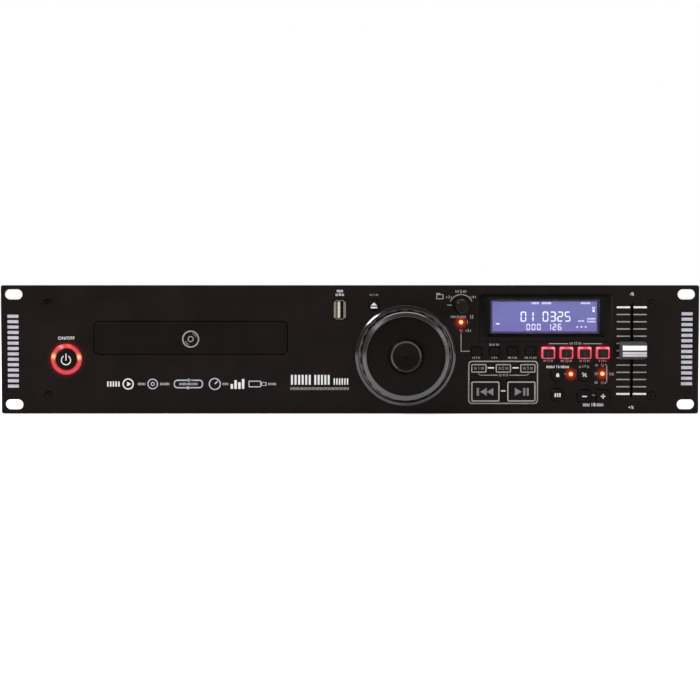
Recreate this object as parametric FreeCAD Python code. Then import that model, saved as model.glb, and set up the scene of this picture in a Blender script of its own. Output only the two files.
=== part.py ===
import FreeCAD, Part
import math
import os

# A disc player for a 19-inch rack, two units high, in millimetres.
# X runs to the right, Y to the rear and Z up.
# The origin is the centre of the four rack slots, on the rear face of the front panel.
# Pieces on the front are drawn as seen from the front: x right, y up, z out of the panel,
# with z = 0 on the panel's rear face, and are turned upright when they are written.

os.makedirs("parts", exist_ok=True)

# front panel
panel_width = 482.6
panel_height = 88.9
panel_thick = 3.0
panel_corner = 1.5
rack_slot_spacing_x = 465.1
rack_slot_spacing_z = 76.2
rack_slot_length = 12.4
rack_slot_width = 7.0
panel_edge = 0.4
boss_radius = 2.2

# case behind the panel
case_width = 432.8
case_depth = 232.0
case_bottom = -43.0
case_top = 40.0
sheet = 1.2
sheet_gap = 0.2
tab_width = 11.0
low_tab_top = -24.45
high_tab_low = 24.45
vent_count = 12
vent_pitch = 9.0
vent_width = 3.2
vent_height = 22.0
vent_start = 66.0
cover_lip = 12.0

# case screws
screw_radius = 1.5
screw_head_radius = 3.0
screw_head_height = 1.6
screw_length = 6.0
screw_gap = 0.15
panel_screw_inset = 7.7
panel_screw_z = 32.0
screw_recess = 1.8
side_screw_z = -33.0
front_screw_y = 30.0
rear_screw_gap = 27.0
rear_screw_inset = 20.0

# control board behind the panel
board_gap = 13.5
board_thick = 1.6
board_left = -16.0
board_side = 15.1
board_low = -39.0
board_high = 37.0
switch_side = 6.0
switch_height = 4.3

# push buttons
button_gap = 0.3
button_travel = 0.6
flange_thick = 1.2
flange_lip = 1.0
stem_side = 2.4
cap_edge = 0.4
cap_corner = 0.8
small_width = 7.0
small_height = 6.0
small_proud = 1.2
small_x = 87.4
small_pitch = 12.5
small_z = -1.2
loop_width = 11.3
loop_height = 6.6
loop_x = 89.1
loop_pitch = 16.95
loop_z = -13.0
start_width = 20.2
start_height = 14.6
start_proud = 1.8
start_corner = 1.2
start_x = 93.6
start_pitch = 24.9
start_z = -29.0
effect_width = 9.2
effect_height = 8.1
effect_proud = 2.2
effect_x = 137.1
effect_pitch = 12.57
effect_z = -2.25
round_dia = 9.1
round_proud = 1.6
lock_x = 143.6
lock_z = -17.5
range_x = 162.1
tap_z = -31.5
bend_width = 9.6
bend_height = 9.0
bend_corner = 2.6
bend_x = 162.2
bend_pitch = 12.9
bend_z = -32.4
eject_dia = 7.5
eject_x = 16.5
eject_z = 30.6

# power button in its lit ring
power_x = -196.2
power_z = -6.7
power_ring_dia = 21.5
power_ring_proud = 1.4
power_ring_edge = 0.7
power_bore_edge = 0.5
power_cap_dia = 14.4
power_cap_proud = 2.0
power_cap_edge = 0.6
power_barrel_dia = 18.4
power_barrel_depth = 12.0
power_floor = 2.0
power_nut_dia = 23.0
power_nut_thick = 2.5
power_travel = 2.0

# indicator lights
light_radius = 1.5
light_proud = 1.0
light_gap = 0.15
light_depth = 4.0
light_leg_width = 1.6
light_leg_thick = 0.8
source_light_x = 76.8
source_light_z = [18.9, 13.0]
tempo_light_x = 152.9
tempo_light_z = -17.0
range_light_x = 174.7
range_light_z = [-11.0, -16.8, -22.9]

# display
lens_width = 92.9
lens_height = 32.4
lens_corner = 2.0
lens_x = 136.05
lens_z = 22.0
lens_proud = 0.3
lens_gap = 0.15
screen_width = 74.0
screen_height = 22.2
screen_x = 134.9
screen_z = 22.7
screen_rim = 4.0
screen_depth = 7.5
screen_step = 0.6
screen_leg = 2.0
screen_leg_inset = 2.5

# data socket
socket_x = -7.0
socket_z = 27.5
socket_width = 5.7
socket_height = 13.1
socket_wall = 0.4
socket_lip = 1.2
socket_depth = 10.5
socket_proud = 0.5
socket_floor = 1.2
socket_lip_inset = 1.0
tongue_width = 1.8
tongue_inset = 1.5
tongue_side = 1.4

# jog wheel
jog_x = 38.4
jog_z = -4.2
jog_bezel_radius = 35.0
jog_bezel_proud = 2.2
jog_cup_radius = 32.5
jog_cup_wall = 0.8
jog_cup_depth = 6.0
jog_wall = 1.5
jog_radius = 31.4
jog_rim_radius = 29.8
jog_rim_width = 2.7
jog_rim_proud = 12.0
jog_centre_radius = 10.9
jog_centre_proud = 15.7
jog_land_drop = 1.3
jog_lip_width = 0.9
jog_lip_depth = 0.4
jog_grips = 24
jog_grip_radius = 3.0
jog_grip_depth = 1.5
jog_shaft_radius = 3.0
jog_boss_radius = 5.5
jog_boss_depth = 9.0
jog_disc_radius = 22.0
jog_disc_slots = 24
running_gap = 0.05

# track knob
track_x = 76.8
track_z = 29.8
track_base_dia = 10.2
track_front_dia = 8.6
track_proud = 15.5
track_travel = 0.5
track_flutes = 12
track_bush_radius = 3.5
track_bush_proud = 1.5
track_rotor_radius = 2.6
track_stem_radius = 1.6
track_body = 12.0

# pitch fader
fader_x = 194.9
fader_z = -0.6
fader_travel = 60.0
fader_slot_width = 1.9
fader_blade_width = 1.2
fader_blade_height = 4.0
fader_body_width = 9.2
fader_body_depth = 10.0
fader_wall = 1.2
fader_cap_width = 17.3
fader_cap_base = 12.5
fader_cap_face = 7.9
fader_cap_proud = 13.0
fader_cap_lift = 1.0
carriage_height = 8.0

# disc tray and its door
tray_x = -110.2
door_z = 8.1
door_width = 133.6
door_height = 22.6
door_corner = 3.5
door_gap = 0.45
door_thick = 3.4
door_proud = 0.2
tray_inset = 0.3
tray_length = 185.0
tray_low = 2.5
tray_high = 9.0
tray_travel = 136.0
disc_y = 68.0
disc_radius = 60.5
disc_recess = 3.5
finger_radius = 11.0
finger_depth = 1.4
small_disc_radius = 40.5
small_disc_recess = 0.8
tray_slot_half = 16.0
tray_slot_end = 143.0
tray_flange = 2.5
tray_flange_thick = 2.0
tray_flange_low = 4.0
tray_width = door_width - 2 * (tray_flange + tray_inset)
slide_gap = 0.35

# gears of the loader
gear_module = 1.5
tooth_gap = 0.25
rack_inset = 14.0
rack_x = tray_width / 2 - rack_inset
rack_low = -1.0
rack_back = 2.5
loading_teeth = 16
pulley_teeth = 10
gear_y = 16.0
gear_low = -1.2
gear_high = 2.0
axle_radius = 2.0
pulley_radius = 12.4
motor_pulley_radius = 4.6
pulley_low = -5.5
pulley_high = -2.5
belt_depth = 1.2
groove_depth = 1.6
belt_gap = 0.3
motor_reach = -22.0
motor_radius = 11.0
motor_length = 19.0
motor_spindle_radius = 1.0
motor_collar_radius = 3.0
hub_wall = 2.0

# loader frame
frame_low = -9.0
frame_thick = 2.0
frame_front = 3.0
frame_wall = 2.5
frame_tail = 4.0
rail_thick = 1.8
leg_radius = 4.0
ear_thick = 6.0
ear_half = 5.0
bridge_low = 14.0
bridge_thick = 1.2
bridge_half = 17.0
bridge_fold = 3.0

# traverse deck, drawn raised and then let down about its hinge
hinge_y = 165.0
hinge_z = -3.0
hinge_pin_radius = 2.0
deck_half = 36.0
deck_front = 42.0
deck_low = -6.0
deck_thick = 2.0
deck_drop = 10.6
deck_gap = 1.5
rod_radius = 1.5
rod_reach = 20.0
rod_z = -0.6
sled_start = 23.0
sled_travel = 35.0
sled_length = 24.0
sled_top = 1.9
sled_half = 14.0
optic_top = 8.2
optic_side = 13.0
optic_radius = 3.6
spindle_radius = 1.5
turntable_radius = 14.0
turntable_low = 6.9
turntable_high = 9.9
turntable_neck = 5.0
hub_radius = 7.4
hub_high = 11.9
hub_step = 0.9
hub_slope = 1.2
spindle_motor_radius = 12.5
spindle_motor_height = 6.0
spindle_end_gap = 1.3
collar_wall = 2.4
collar_high = 3.0

# clamp puck
puck_low = 11.4
puck_radius = 12.5
puck_flange_radius = 17.0
puck_flange_thick = 1.4
puck_crown = 3.4
puck_hollow = 2.0

# cam slider
cam_travel = 18.0
cam_y = 36.0
cam_thick = 2.4
cam_pin_radius = 1.5
cam_pin_x = 4.0
cam_slot_gap = 0.35
cam_width = 32.0

# boards inside, each part on them as left, front, width, depth and height
main_board_left = -30.0
main_board_right = 125.0
main_board_depth = 156.0
main_board_gap = 16.0
power_board_left = 136.0
power_board_right = 206.0
power_board_depth = 114.0
power_board_gap = 8.0
inner_board_low = -34.0
standoff_radius = 3.0
standoff_inset = 6.0
processor = [30.0, 40.0, 28.0, 28.0, 3.0]
converter = [78.0, 46.0, 18.0, 18.0, 2.5]
ribbon_plug = [20.0, 6.0, 40.0, 6.0, 8.0]
panel_plug = [141.0, 24.0, 8.0, 40.0, 8.0]
heat_sink = [95.0, 96.0, 26.0, 14.0, 22.0]
sink_base = 4.0
sink_fin_gap = 2.4
sink_fin_pitch = 4.0
sink_first_gap = 2.0
capacitor_radius = 5.0
capacitor_height = 14.0
capacitor_pitch = 16.0
capacitor_left = 131.0
capacitor_front = 90.0
core = [12.0, 14.0, 44.0, 36.0, 36.0]
core_notch = [9.0, 10.0]
core_notch_front = [-1.0, 28.0]
winding = [20.0, 8.0, 28.0, 48.0, 28.0]
winding_lift = 6.0
fuse_holder = [50.0, 66.0, 12.0, 24.0, 10.0]
reservoir_radius = 8.0
reservoir_height = 26.0
reservoir_pitch = 20.0
reservoir_left = 14.0
reservoir_front = 72.0

# mains inlet and phono sockets on the rear wall
inlet_x = 170.0
inlet_z = -2.0
inlet_width = 27.0
inlet_height = 20.0
inlet_depth = 18.0
inlet_wall = 1.6
inlet_slant = 4.0
inlet_proud = 4.0
inlet_ear = 11.5
inlet_lip = 1.5
inlet_flange = 2.5
inlet_screw_x = 20.0
inlet_screw_radius = 1.7
blade_pitch = 7.0
blade_drop = 2.0
blade_half = [1.0, 2.0]
phono_x = 6.0
phono_pitch = 19.0
phono_count = 3
phono_z = -22.0
phono_radius = 4.15
phono_length = 9.0
phono_block = 10.0
phono_block_depth = 12.0
phono_shoulder = 1.5
phono_rim = 2.0
phono_bore_radius = 1.7
phono_bore_depth = 8.0

panel_screw_x = case_width / 2 - panel_screw_inset
board_right = fader_x + board_side
side_screw_y = [front_screw_y, case_depth - rear_screw_gap]
main_board = [main_board_left, main_board_right, case_depth - main_board_gap - main_board_depth,
              case_depth - main_board_gap]
power_board = [power_board_left, power_board_right, case_depth - power_board_gap - power_board_depth,
               case_depth - power_board_gap]
panel_front = panel_thick
jog_front = panel_front + jog_rim_proud
switch_top = switch_height - board_gap
panel_holes = []
switch_places = []


def vec(x, y, z):
    return FreeCAD.Vector(x, y, z)


def block(x0, x1, y0, y1, z0, z1):
    return Part.makeBox(x1 - x0, y1 - y0, z1 - z0, vec(x0, y0, z0))


def rod(radius, low, high, x=0.0, y=0.0):
    return Part.makeCylinder(radius, high - low, vec(x, y, low))


def tube(outer, inner, low, high, x=0.0, y=0.0):
    return rod(outer, low, high, x, y).cut(rod(inner, low - 1, high + 1, x, y))


def line(start, end):
    return Part.LineSegment(vec(*start), vec(*end)).toShape()


def quarter(cx, cy, radius, start, z):
    # a quarter circle, counted in degrees from the x axis
    points = []
    for step in range(3):
        turn = math.radians(start + 45 * step)
        points.append(vec(cx + radius * math.cos(turn), cy + radius * math.sin(turn), z))
    return Part.Arc(*points).toShape()


def plate(width, height, corner, low, high, x=0.0, y=0.0):
    # a plate with rounded corners, or a round one where the corners meet
    if 2 * corner > min(width, height) - 0.01:
        if abs(width - height) < 0.01:
            return rod(width / 2, low, high, x, y)
        corner = min(width, height) / 2 - 0.005
    a = width / 2 - corner
    b = height / 2 - corner
    c = corner
    edges = [
        line((x - a, y - b - c, low), (x + a, y - b - c, low)),
        quarter(x + a, y - b, c, -90, low),
        line((x + a + c, y - b, low), (x + a + c, y + b, low)),
        quarter(x + a, y + b, c, 0, low),
        line((x + a, y + b + c, low), (x - a, y + b + c, low)),
        quarter(x - a, y + b, c, 90, low),
        line((x - a - c, y + b, low), (x - a - c, y - b, low)),
        quarter(x - a, y - b, c, 180, low),
    ]
    return Part.Face(Part.Wire(edges)).extrude(vec(0, 0, high - low))


def prism(points, along):
    wire = Part.makePolygon([vec(*p) for p in points] + [vec(*points[0])])
    return Part.Face(wire).extrude(vec(*along))


def revolved(profile, x=0.0, y=0.0):
    # radius and height pairs, turned about an upright axis
    wire = Part.makePolygon([vec(r, 0, z) for r, z in profile + [profile[0]]])
    turned = Part.Face(wire).revolve(vec(0, 0, 0), vec(0, 0, 1), 360)
    solid = Part.Solid(turned.Shells[0]) if turned.ShapeType != "Solid" else turned
    if solid.Volume < 0:
        solid.reverse()
    solid.translate(vec(x, y, 0))
    return solid


def joined(*shapes):
    return shapes[0].multiFuse(list(shapes[1:])).removeSplitter()


def less(shape, *tools):
    return shape.cut(Part.makeCompound(list(tools)))


def softened(shape, height, size):
    # the edges that lie at this height get a small chamfer
    rim = [e for e in shape.Edges if e.BoundBox.ZMin > height - 0.001]
    return shape.makeChamfer(size, rim)


def around(shape, count, x=0.0, y=0.0):
    copies = []
    for step in range(count):
        copy = shape.copy()
        copy.rotate(vec(x, y, 0), vec(0, 0, 1), 360.0 * step / count)
        copies.append(copy)
    return copies


def upright(shape):
    turned = shape.copy()
    turned.rotate(vec(0, 0, 0), vec(1, 0, 0), 90)
    return turned


def save(name, *shapes):
    solids = []
    for shape in shapes:
        solids.extend(shape.Solids)
    whole = solids[0] if len(solids) == 1 else Part.makeCompound(solids)
    whole.exportStep("parts/" + name + ".step")
    good = all(s.isValid() for s in solids)
    print(name, len(solids), round(sum(s.Volume for s in solids), 1), "valid" if good else "NOT VALID")


def save_front(name, *shapes):
    save(name, *[upright(s) for s in shapes])


# buttons and their holes

def push_button(name, width, height, corner, proud, x, z):
    rear = -button_gap - flange_thick
    top = panel_front + proud
    cap = softened(plate(width, height, corner, rear, top, x, z), top, cap_edge)
    flange = plate(width + 2 * flange_lip, height + 2 * flange_lip, corner + flange_lip,
                   rear, -button_gap, x, z)
    half = stem_side / 2
    stem_end = switch_top + button_travel + button_gap
    stem = block(x - half, x + half, z - half, z + half, stem_end, rear)
    save_front(name, joined(cap, flange, stem))
    hole = plate(width + 2 * button_gap, height + 2 * button_gap, corner + button_gap,
                 -1, panel_front + 1, x, z)
    panel_holes.append(hole)
    switch_places.append((x, z))


def button_set():
    for step, name in enumerate(["source", "time", "single", "program"]):
        push_button(name + "_button", small_width, small_height, cap_corner, small_proud,
                    small_x + step * small_pitch, small_z)
    for step, name in enumerate(["loop_in", "loop_out", "reloop"]):
        push_button(name + "_button", loop_width, loop_height, cap_corner, small_proud,
                    loop_x + step * loop_pitch, loop_z)
    for step, name in enumerate(["cue", "play"]):
        push_button(name + "_button", start_width, start_height, start_corner, start_proud,
                    start_x + step * start_pitch, start_z)
    for step in range(4):
        push_button("effect_button_" + str(step + 1), effect_width, effect_height, cap_corner,
                    effect_proud, effect_x + step * effect_pitch, effect_z)
    for name, x, z in [("tempo_lock", lock_x, lock_z), ("pitch_range", range_x, lock_z),
                       ("tap", lock_x, tap_z)]:
        push_button(name + "_button", round_dia, round_dia, round_dia / 2, round_proud, x, z)
    for step, name in enumerate(["bend_down", "bend_up"]):
        push_button(name + "_button", bend_width, bend_height, bend_corner, round_proud,
                    bend_x + step * bend_pitch, bend_z)
    push_button("eject_button", eject_dia, eject_dia, eject_dia / 2, small_proud, eject_x, eject_z)


def power_button():
    ring_top = panel_front + power_ring_proud
    bore = power_cap_dia / 2 + button_gap
    outer = power_ring_dia / 2
    barrel = power_barrel_dia / 2
    floor = -power_barrel_depth
    profile = [(0, floor), (barrel, floor), (barrel, panel_front), (outer, panel_front),
               (outer, ring_top - power_ring_edge), (outer - power_ring_edge, ring_top),
               (bore + power_bore_edge, ring_top), (bore, ring_top - power_bore_edge),
               (bore, floor + power_floor), (0, floor + power_floor)]
    ring = revolved(profile, power_x, power_z)
    nut = around_nut(power_nut_dia / 2, -power_nut_thick, 0, power_x, power_z)
    nut = nut.cut(rod(barrel - sheet_gap, -power_nut_thick - 1, 1, power_x, power_z))
    save_front("power_light_ring", joined(ring, nut))
    cap_top = panel_front + power_cap_proud
    cap_rear = floor + power_floor + power_travel + button_gap
    cap = rod(power_cap_dia / 2, cap_rear, cap_top, power_x, power_z)
    save_front("power_button", softened(cap, cap_top, power_cap_edge))
    panel_holes.append(rod(barrel + light_gap, -1, panel_front + 1, power_x, power_z))


def around_nut(radius, low, high, x, y):
    # a six-sided nut
    points = []
    for step in range(6):
        turn = math.radians(60 * step)
        points.append((x + radius * math.cos(turn), y + radius * math.sin(turn), low))
    return prism(points, (0, 0, high - low))


# lights, display and data socket

def indicator_lights():
    places = [(source_light_x, z) for z in source_light_z]
    places.append((tempo_light_x, tempo_light_z))
    places.extend((range_light_x, z) for z in range_light_z)
    lights = []
    for x, z in places:
        top = panel_front + light_proud
        lamp = softened(rod(light_radius, -light_depth, top, x, z), top, light_radius * 0.4)
        half_w = light_leg_width / 2
        half_t = light_leg_thick / 2
        legs = block(x - half_w, x + half_w, z - half_t, z + half_t, -board_gap, -light_depth)
        lights.append(joined(lamp, legs))
        panel_holes.append(rod(light_radius + light_gap, -1, panel_front + 1, x, z))
    save_front("indicator_lights", *lights)


def display():
    top = panel_front + lens_proud
    lens = plate(lens_width, lens_height, lens_corner, 0, top, lens_x, lens_z)
    save_front("display_lens", softened(lens, top, lens_proud))
    panel_holes.append(plate(lens_width + 2 * lens_gap, lens_height + 2 * lens_gap,
                             lens_corner + lens_gap, -1, panel_front + 1, lens_x, lens_z))
    half_w = screen_width / 2 + screen_rim
    half_h = screen_height / 2 + screen_rim
    rear = -lens_gap - screen_depth
    body = block(screen_x - half_w, screen_x + half_w, screen_z - half_h, screen_z + half_h,
                 rear, -lens_gap)
    sight_w = screen_width / 2 + screen_step
    sight_h = screen_height / 2 + screen_step
    sight = block(screen_x - sight_w, screen_x + sight_w, screen_z - sight_h, screen_z + sight_h,
                  -lens_gap - screen_step, 0)
    foot = screen_leg / 2
    legs = []
    for side_x in (-1, 1):
        for side_z in (-1, 1):
            x = screen_x + side_x * (half_w - screen_leg_inset)
            z = screen_z + side_z * (half_h - screen_leg_inset)
            legs.append(block(x - foot, x + foot, z - foot, z + foot, -board_gap, rear))
    save_front("display_module", joined(body.cut(sight), *legs))


def data_socket():
    top = panel_front + socket_proud
    half_w = socket_width / 2
    half_h = socket_height / 2
    shell = block(socket_x - half_w, socket_x + half_w, socket_z - half_h, socket_z + half_h,
                  -socket_depth, top)
    hollow = block(socket_x - half_w + socket_wall, socket_x + half_w - socket_wall,
                   socket_z - half_h + socket_wall, socket_z + half_h - socket_wall,
                   -socket_depth + socket_floor, top + 1)
    lips = []
    for side in (-1, 1):
        edge = socket_x + side * half_w
        inner = edge - side * socket_wall
        start = socket_z - half_h + socket_lip_inset
        lips.append(prism([(inner, start, top - 3 * socket_wall), (inner, start, top - 1.5 * socket_wall),
                           (edge + side * socket_lip, start, top + socket_wall),
                           (edge + side * socket_lip, start, top)],
                          (0, 2 * (half_h - socket_lip_inset), 0)))
    left = socket_x - half_w + tongue_side
    tongue = block(left, left + tongue_width, socket_z - half_h + socket_lip_inset,
                   socket_z + half_h - socket_lip_inset, -socket_depth, top - tongue_inset)
    rear = block(socket_x - half_w, socket_x + half_w, socket_z - half_h, socket_z + half_h,
                 -board_gap, -socket_depth)
    save_front("data_socket", joined(shell.cut(hollow), lips[0], lips[1], tongue, rear))
    panel_holes.append(plate(socket_width + 2 * socket_lip + 0.9, socket_height + 0.8, 0.4,
                             -1, panel_front + 1, socket_x, socket_z))


# jog wheel

def jog_wheel():
    outer = jog_cup_radius + jog_cup_wall
    floor = -jog_cup_depth
    top = panel_front + jog_bezel_proud
    bore = jog_shaft_radius + running_gap
    boss_top = floor + jog_wall + 3.0
    housing = revolved([
        (bore, -jog_boss_depth), (jog_boss_radius, -jog_boss_depth), (jog_boss_radius, floor),
        (outer, floor), (outer, panel_front), (jog_bezel_radius, panel_front),
        (jog_bezel_radius, top - 1.2), (jog_bezel_radius - 0.5, top - 0.35),
        (jog_bezel_radius - 1.3, top), (jog_cup_radius + 0.5, top - 0.2),
        (jog_cup_radius, top - 0.7), (jog_cup_radius, floor + jog_wall),
        (jog_boss_radius, floor + jog_wall), (jog_boss_radius, boss_top), (bore, boss_top)],
        jog_x, jog_z)
    save_front("jog_housing", housing)
    panel_holes.append(rod(outer + light_gap, -1, panel_front + 1, jog_x, jog_z))

    skirt = floor + jog_wall + 1.3
    land = jog_rim_radius - jog_rim_width
    seat = jog_front - 4.2
    grip = revolved([
        (land, skirt), (jog_radius, skirt), (jog_radius, panel_front + 1),
        (jog_rim_radius + 0.6, jog_front - jog_land_drop - 0.7),
        (jog_rim_radius, jog_front - jog_land_drop), (land + 0.4, jog_front), (land, jog_front),
        (land, seat), (land - 2.4, seat), (land - 2.4, seat - 1.6), (land, seat - 1.6)],
        jog_x, jog_z)
    cutter = rod(jog_grip_radius, skirt - 1, jog_front - jog_land_drop - 1.1,
                 jog_x + jog_radius - jog_grip_depth + jog_grip_radius, jog_z)
    save_front("jog_grip_ring", less(grip, *around(cutter, jog_grips, jog_x, jog_z)))

    face = land - 0.1
    crown = panel_front + jog_centre_proud
    pocket = jog_shaft_radius + 0.02
    under = seat + 0.1
    plate_face = revolved([
        (0, crown - 5), (pocket, crown - 5), (pocket, boss_top + 0.6), (8, boss_top + 0.6),
        (8, under - 1.5), (20, under), (face, under), (face, jog_front - 1.0),
        (jog_centre_radius + 1.6, jog_front - 0.4), (jog_centre_radius, crown - 0.5),
        (jog_centre_radius - 0.5, crown), (jog_centre_radius - 0.6, crown),
        (jog_centre_radius - 0.6 - jog_lip_width, crown - jog_lip_depth),
        (0, crown - jog_lip_depth - 0.3)], jog_x, jog_z)
    save_front("jog_plate", plate_face)

    disc_low = -jog_boss_depth - 1.6
    shaft = rod(jog_shaft_radius, disc_low - 1, crown - 5.3, jog_x, jog_z)
    disc = rod(jog_disc_radius, disc_low, disc_low + 0.8, jog_x, jog_z)
    window = block(jog_x + jog_disc_radius - 5, jog_x + jog_disc_radius - 2, jog_z - 0.7, jog_z + 0.7,
                   disc_low - 1, disc_low + 2)
    disc = less(disc, *around(window, jog_disc_slots, jog_x, jog_z))
    save_front("jog_shaft", joined(shaft, disc))


def jog_sensor():
    # a forked light gate on the board, astride the edge of the slotted disc
    disc_low = -jog_boss_depth - 1.6
    x = jog_x + jog_disc_radius - 3
    fork = block(x - 3.5, x + 5.5, jog_z - 3, jog_z + 3, -board_gap, disc_low + 3.0)
    mouth = block(x - 4.5, x + 3.6, jog_z - 4, jog_z + 4, disc_low - 0.6, disc_low + 1.5)
    return fork.cut(mouth)


# track knob

def track_control():
    top = panel_front + track_proud
    lift = panel_front + track_travel + 0.4
    base = track_base_dia / 2
    front = track_front_dia / 2
    hollow = track_bush_radius + 0.4
    roof = panel_front + track_bush_proud + track_travel + 0.4
    stem_end = 1.2 - board_gap + track_travel + button_gap
    knob = revolved([
        (0, stem_end), (track_stem_radius, stem_end), (track_stem_radius, roof), (hollow, roof),
        (hollow, lift), (base, lift), (base, lift + 2.2), (base - 0.5, lift + 2.8),
        (front, top - 0.5), (front - 0.5, top), (0, top)], track_x, track_z)
    flute = rod(0.7, lift + 3.2, top + 1, track_x + base + 0.05, track_z)
    knob = less(knob, *around(flute, track_flutes, track_x, track_z))
    pointer = block(track_x - 0.4, track_x + 0.4, track_z + 1.6, track_z + front + 1, top - 0.4, top + 1)
    save_front("track_knob", knob.cut(pointer))

    rotor_end = 1.2 - board_gap
    rotor = tube(track_rotor_radius, track_stem_radius + running_gap, rotor_end + 0.3,
                 panel_front + track_bush_proud - 0.2, track_x, track_z)
    save_front("track_rotor", rotor)

    half = track_body / 2
    body = block(track_x - half, track_x + half, track_z - half, track_z + half, -board_gap, 0)
    bush = rod(track_bush_radius, 0, panel_front + track_bush_proud, track_x, track_z)
    bore = rod(track_rotor_radius + running_gap, rotor_end, top, track_x, track_z)
    save_front("track_encoder", joined(body, bush).cut(bore))
    panel_holes.append(rod(track_bush_radius + light_gap, -1, panel_front + 1, track_x, track_z))


# pitch fader

def pitch_fader():
    slot_height = fader_travel + fader_blade_height + 1.2
    slot = plate(fader_slot_width, slot_height, fader_slot_width / 2, -fader_wall - 1,
                 panel_front + 1, fader_x, fader_z)
    panel_holes.append(slot)
    half = fader_body_width / 2
    inner = half - fader_wall
    run = (fader_travel + carriage_height) / 2 + 0.5
    length = run + 3
    body = block(fader_x - half, fader_x + half, fader_z - length, fader_z + length, -fader_body_depth, 0)
    hollow = block(fader_x - inner, fader_x + inner, fader_z - run, fader_z + run,
                   -fader_body_depth + fader_wall, -fader_wall)
    save_front("fader_body", less(body, hollow, slot))

    blade = fader_blade_width / 2
    tall = fader_blade_height / 2
    carriage = block(fader_x - inner + 0.3, fader_x + inner - 0.3,
                     fader_z - carriage_height / 2, fader_z + carriage_height / 2,
                     -fader_body_depth + fader_wall + 0.3, -fader_wall - 0.3)
    cap_low = panel_front + fader_cap_lift
    cap_top = panel_front + fader_cap_proud
    stem = block(fader_x - blade, fader_x + blade, fader_z - tall, fader_z + tall,
                 -fader_wall - 0.4, cap_low + 5)
    save_front("fader_lever", joined(carriage, stem))

    left = fader_x - fader_cap_width / 2
    base = fader_cap_base / 2
    face = fader_cap_face / 2
    groove = 0.45
    outline = [(-base, cap_low), (base, cap_low), (base - 0.3, cap_low + 2.4), (face + 0.3, cap_top - 0.5),
               (face - 0.2, cap_top), (groove, cap_top - 0.5), (groove, cap_top - 1.2),
               (-groove, cap_top - 1.2), (-groove, cap_top - 0.5), (0.2 - face, cap_top),
               (-face - 0.3, cap_top - 0.5), (0.3 - base, cap_low + 2.4)]
    cap = prism([(left, fader_z + y, z) for y, z in outline], (fader_cap_width, 0, 0))
    pocket = block(fader_x - blade - 0.02, fader_x + blade + 0.02, fader_z - tall - 0.02,
                   fader_z + tall + 0.02, cap_low - 1, cap_low + 5.1)
    save_front("fader_cap", cap.cut(pocket))


# front panel, with every hole that the pieces ask for

def front_panel():
    panel = plate(panel_width, panel_height, panel_corner, 0, panel_front)
    panel = softened(panel, panel_front, panel_edge)
    for side_x in (-1, 1):
        for side_z in (-1, 1):
            slot_x = side_x * rack_slot_spacing_x / 2
            slot_z = side_z * rack_slot_spacing_z / 2
            panel_holes.append(plate(rack_slot_length, rack_slot_width, rack_slot_width / 2,
                                     -1, panel_front + 1, slot_x, slot_z))
            x = side_x * panel_screw_x
            z = side_z * panel_screw_z
            panel_holes.append(rod(screw_radius + screw_gap, -1, panel_front + 1, x, z))
            panel_holes.append(rod(screw_head_radius + screw_gap, panel_front - screw_recess,
                                   panel_front + 1, x, z))
    panel_holes.append(plate(door_width + 2 * door_gap, door_height + 2 * door_gap,
                             door_corner + door_gap, -1, panel_front + 1, tray_x, door_z))
    bosses = []
    for x, z in board_screws():
        bosses.append(rod(boss_radius, -board_gap, 0, x, z))
    save_front("front_panel", joined(less(panel, *panel_holes), *bosses))


def board_screws():
    # where the control board is screwed to the panel, clear of what lies between them
    left = board_left + 4.5
    right = fader_x - fader_body_width / 2 - 4
    low = board_low + 3.5
    high = board_high - 3.0
    between = jog_x + jog_bezel_radius + 4.6
    beside_knob = track_x + track_body / 2 + 3.6
    return [(left, 8.0), (left, low), (between, low), (beside_knob, high), (right, high), (right, low)]


def control_board():
    board = block(board_left, board_right, board_low, board_high, -board_gap - board_thick, -board_gap)
    half = switch_side / 2
    switches = []
    for x, z in switch_places:
        switches.append(block(x - half, x + half, z - half, z + half, -board_gap, switch_top))
    save_front("control_board", joined(board, jog_sensor(), *switches))


# disc tray, its door and its gears

def tray_door():
    front = panel_front + door_proud
    door = plate(door_width, door_height, door_corner, front - door_thick, front, tray_x, door_z)
    save_front("tray_door", softened(door, front, 0.4))


def tray_shape():
    half = tray_width / 2
    front = -panel_front - door_proud + door_thick
    tail = front + tray_length
    floor = tray_high - disc_recess
    body = block(tray_x - half, tray_x + half, front, tail, tray_low, tray_high)
    body = less(body, rod(disc_radius, floor, tray_high + 1, tray_x, disc_y),
                rod(small_disc_radius, floor - small_disc_recess, tray_high, tray_x, disc_y))
    near = disc_y - tray_slot_half
    far = tray_slot_end - tray_slot_half
    opening = joined(rod(tray_slot_half, tray_low - 1, tray_high + 1, tray_x, near + tray_slot_half),
                     rod(tray_slot_half, tray_low - 1, tray_high + 1, tray_x, far),
                     block(tray_x - tray_slot_half, tray_x + tray_slot_half, disc_y, far,
                           tray_low - 1, tray_high + 1))
    grips = []
    for side in (-1, 1):
        x = tray_x + side * disc_radius * 0.86
        grips.append(rod(finger_radius, floor - finger_depth, tray_high + 1, x,
                         disc_y - disc_radius * 0.55))
    body = less(body, opening, *grips)
    flange_high = tray_flange_low + tray_flange_thick
    flanges = []
    for side in (-1, 1):
        inner = tray_x + side * (half - 1)
        outer = tray_x + side * (half + tray_flange)
        flanges.append(block(min(inner, outer), max(inner, outer), front + 2, tail,
                             tray_flange_low, flange_high))
    front_wall = block(tray_x - half + 3, tray_x + half - 3, front, front + 2, tray_low, door_z + 7)
    return joined(body, front_wall, rack_teeth(front), *flanges)


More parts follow.
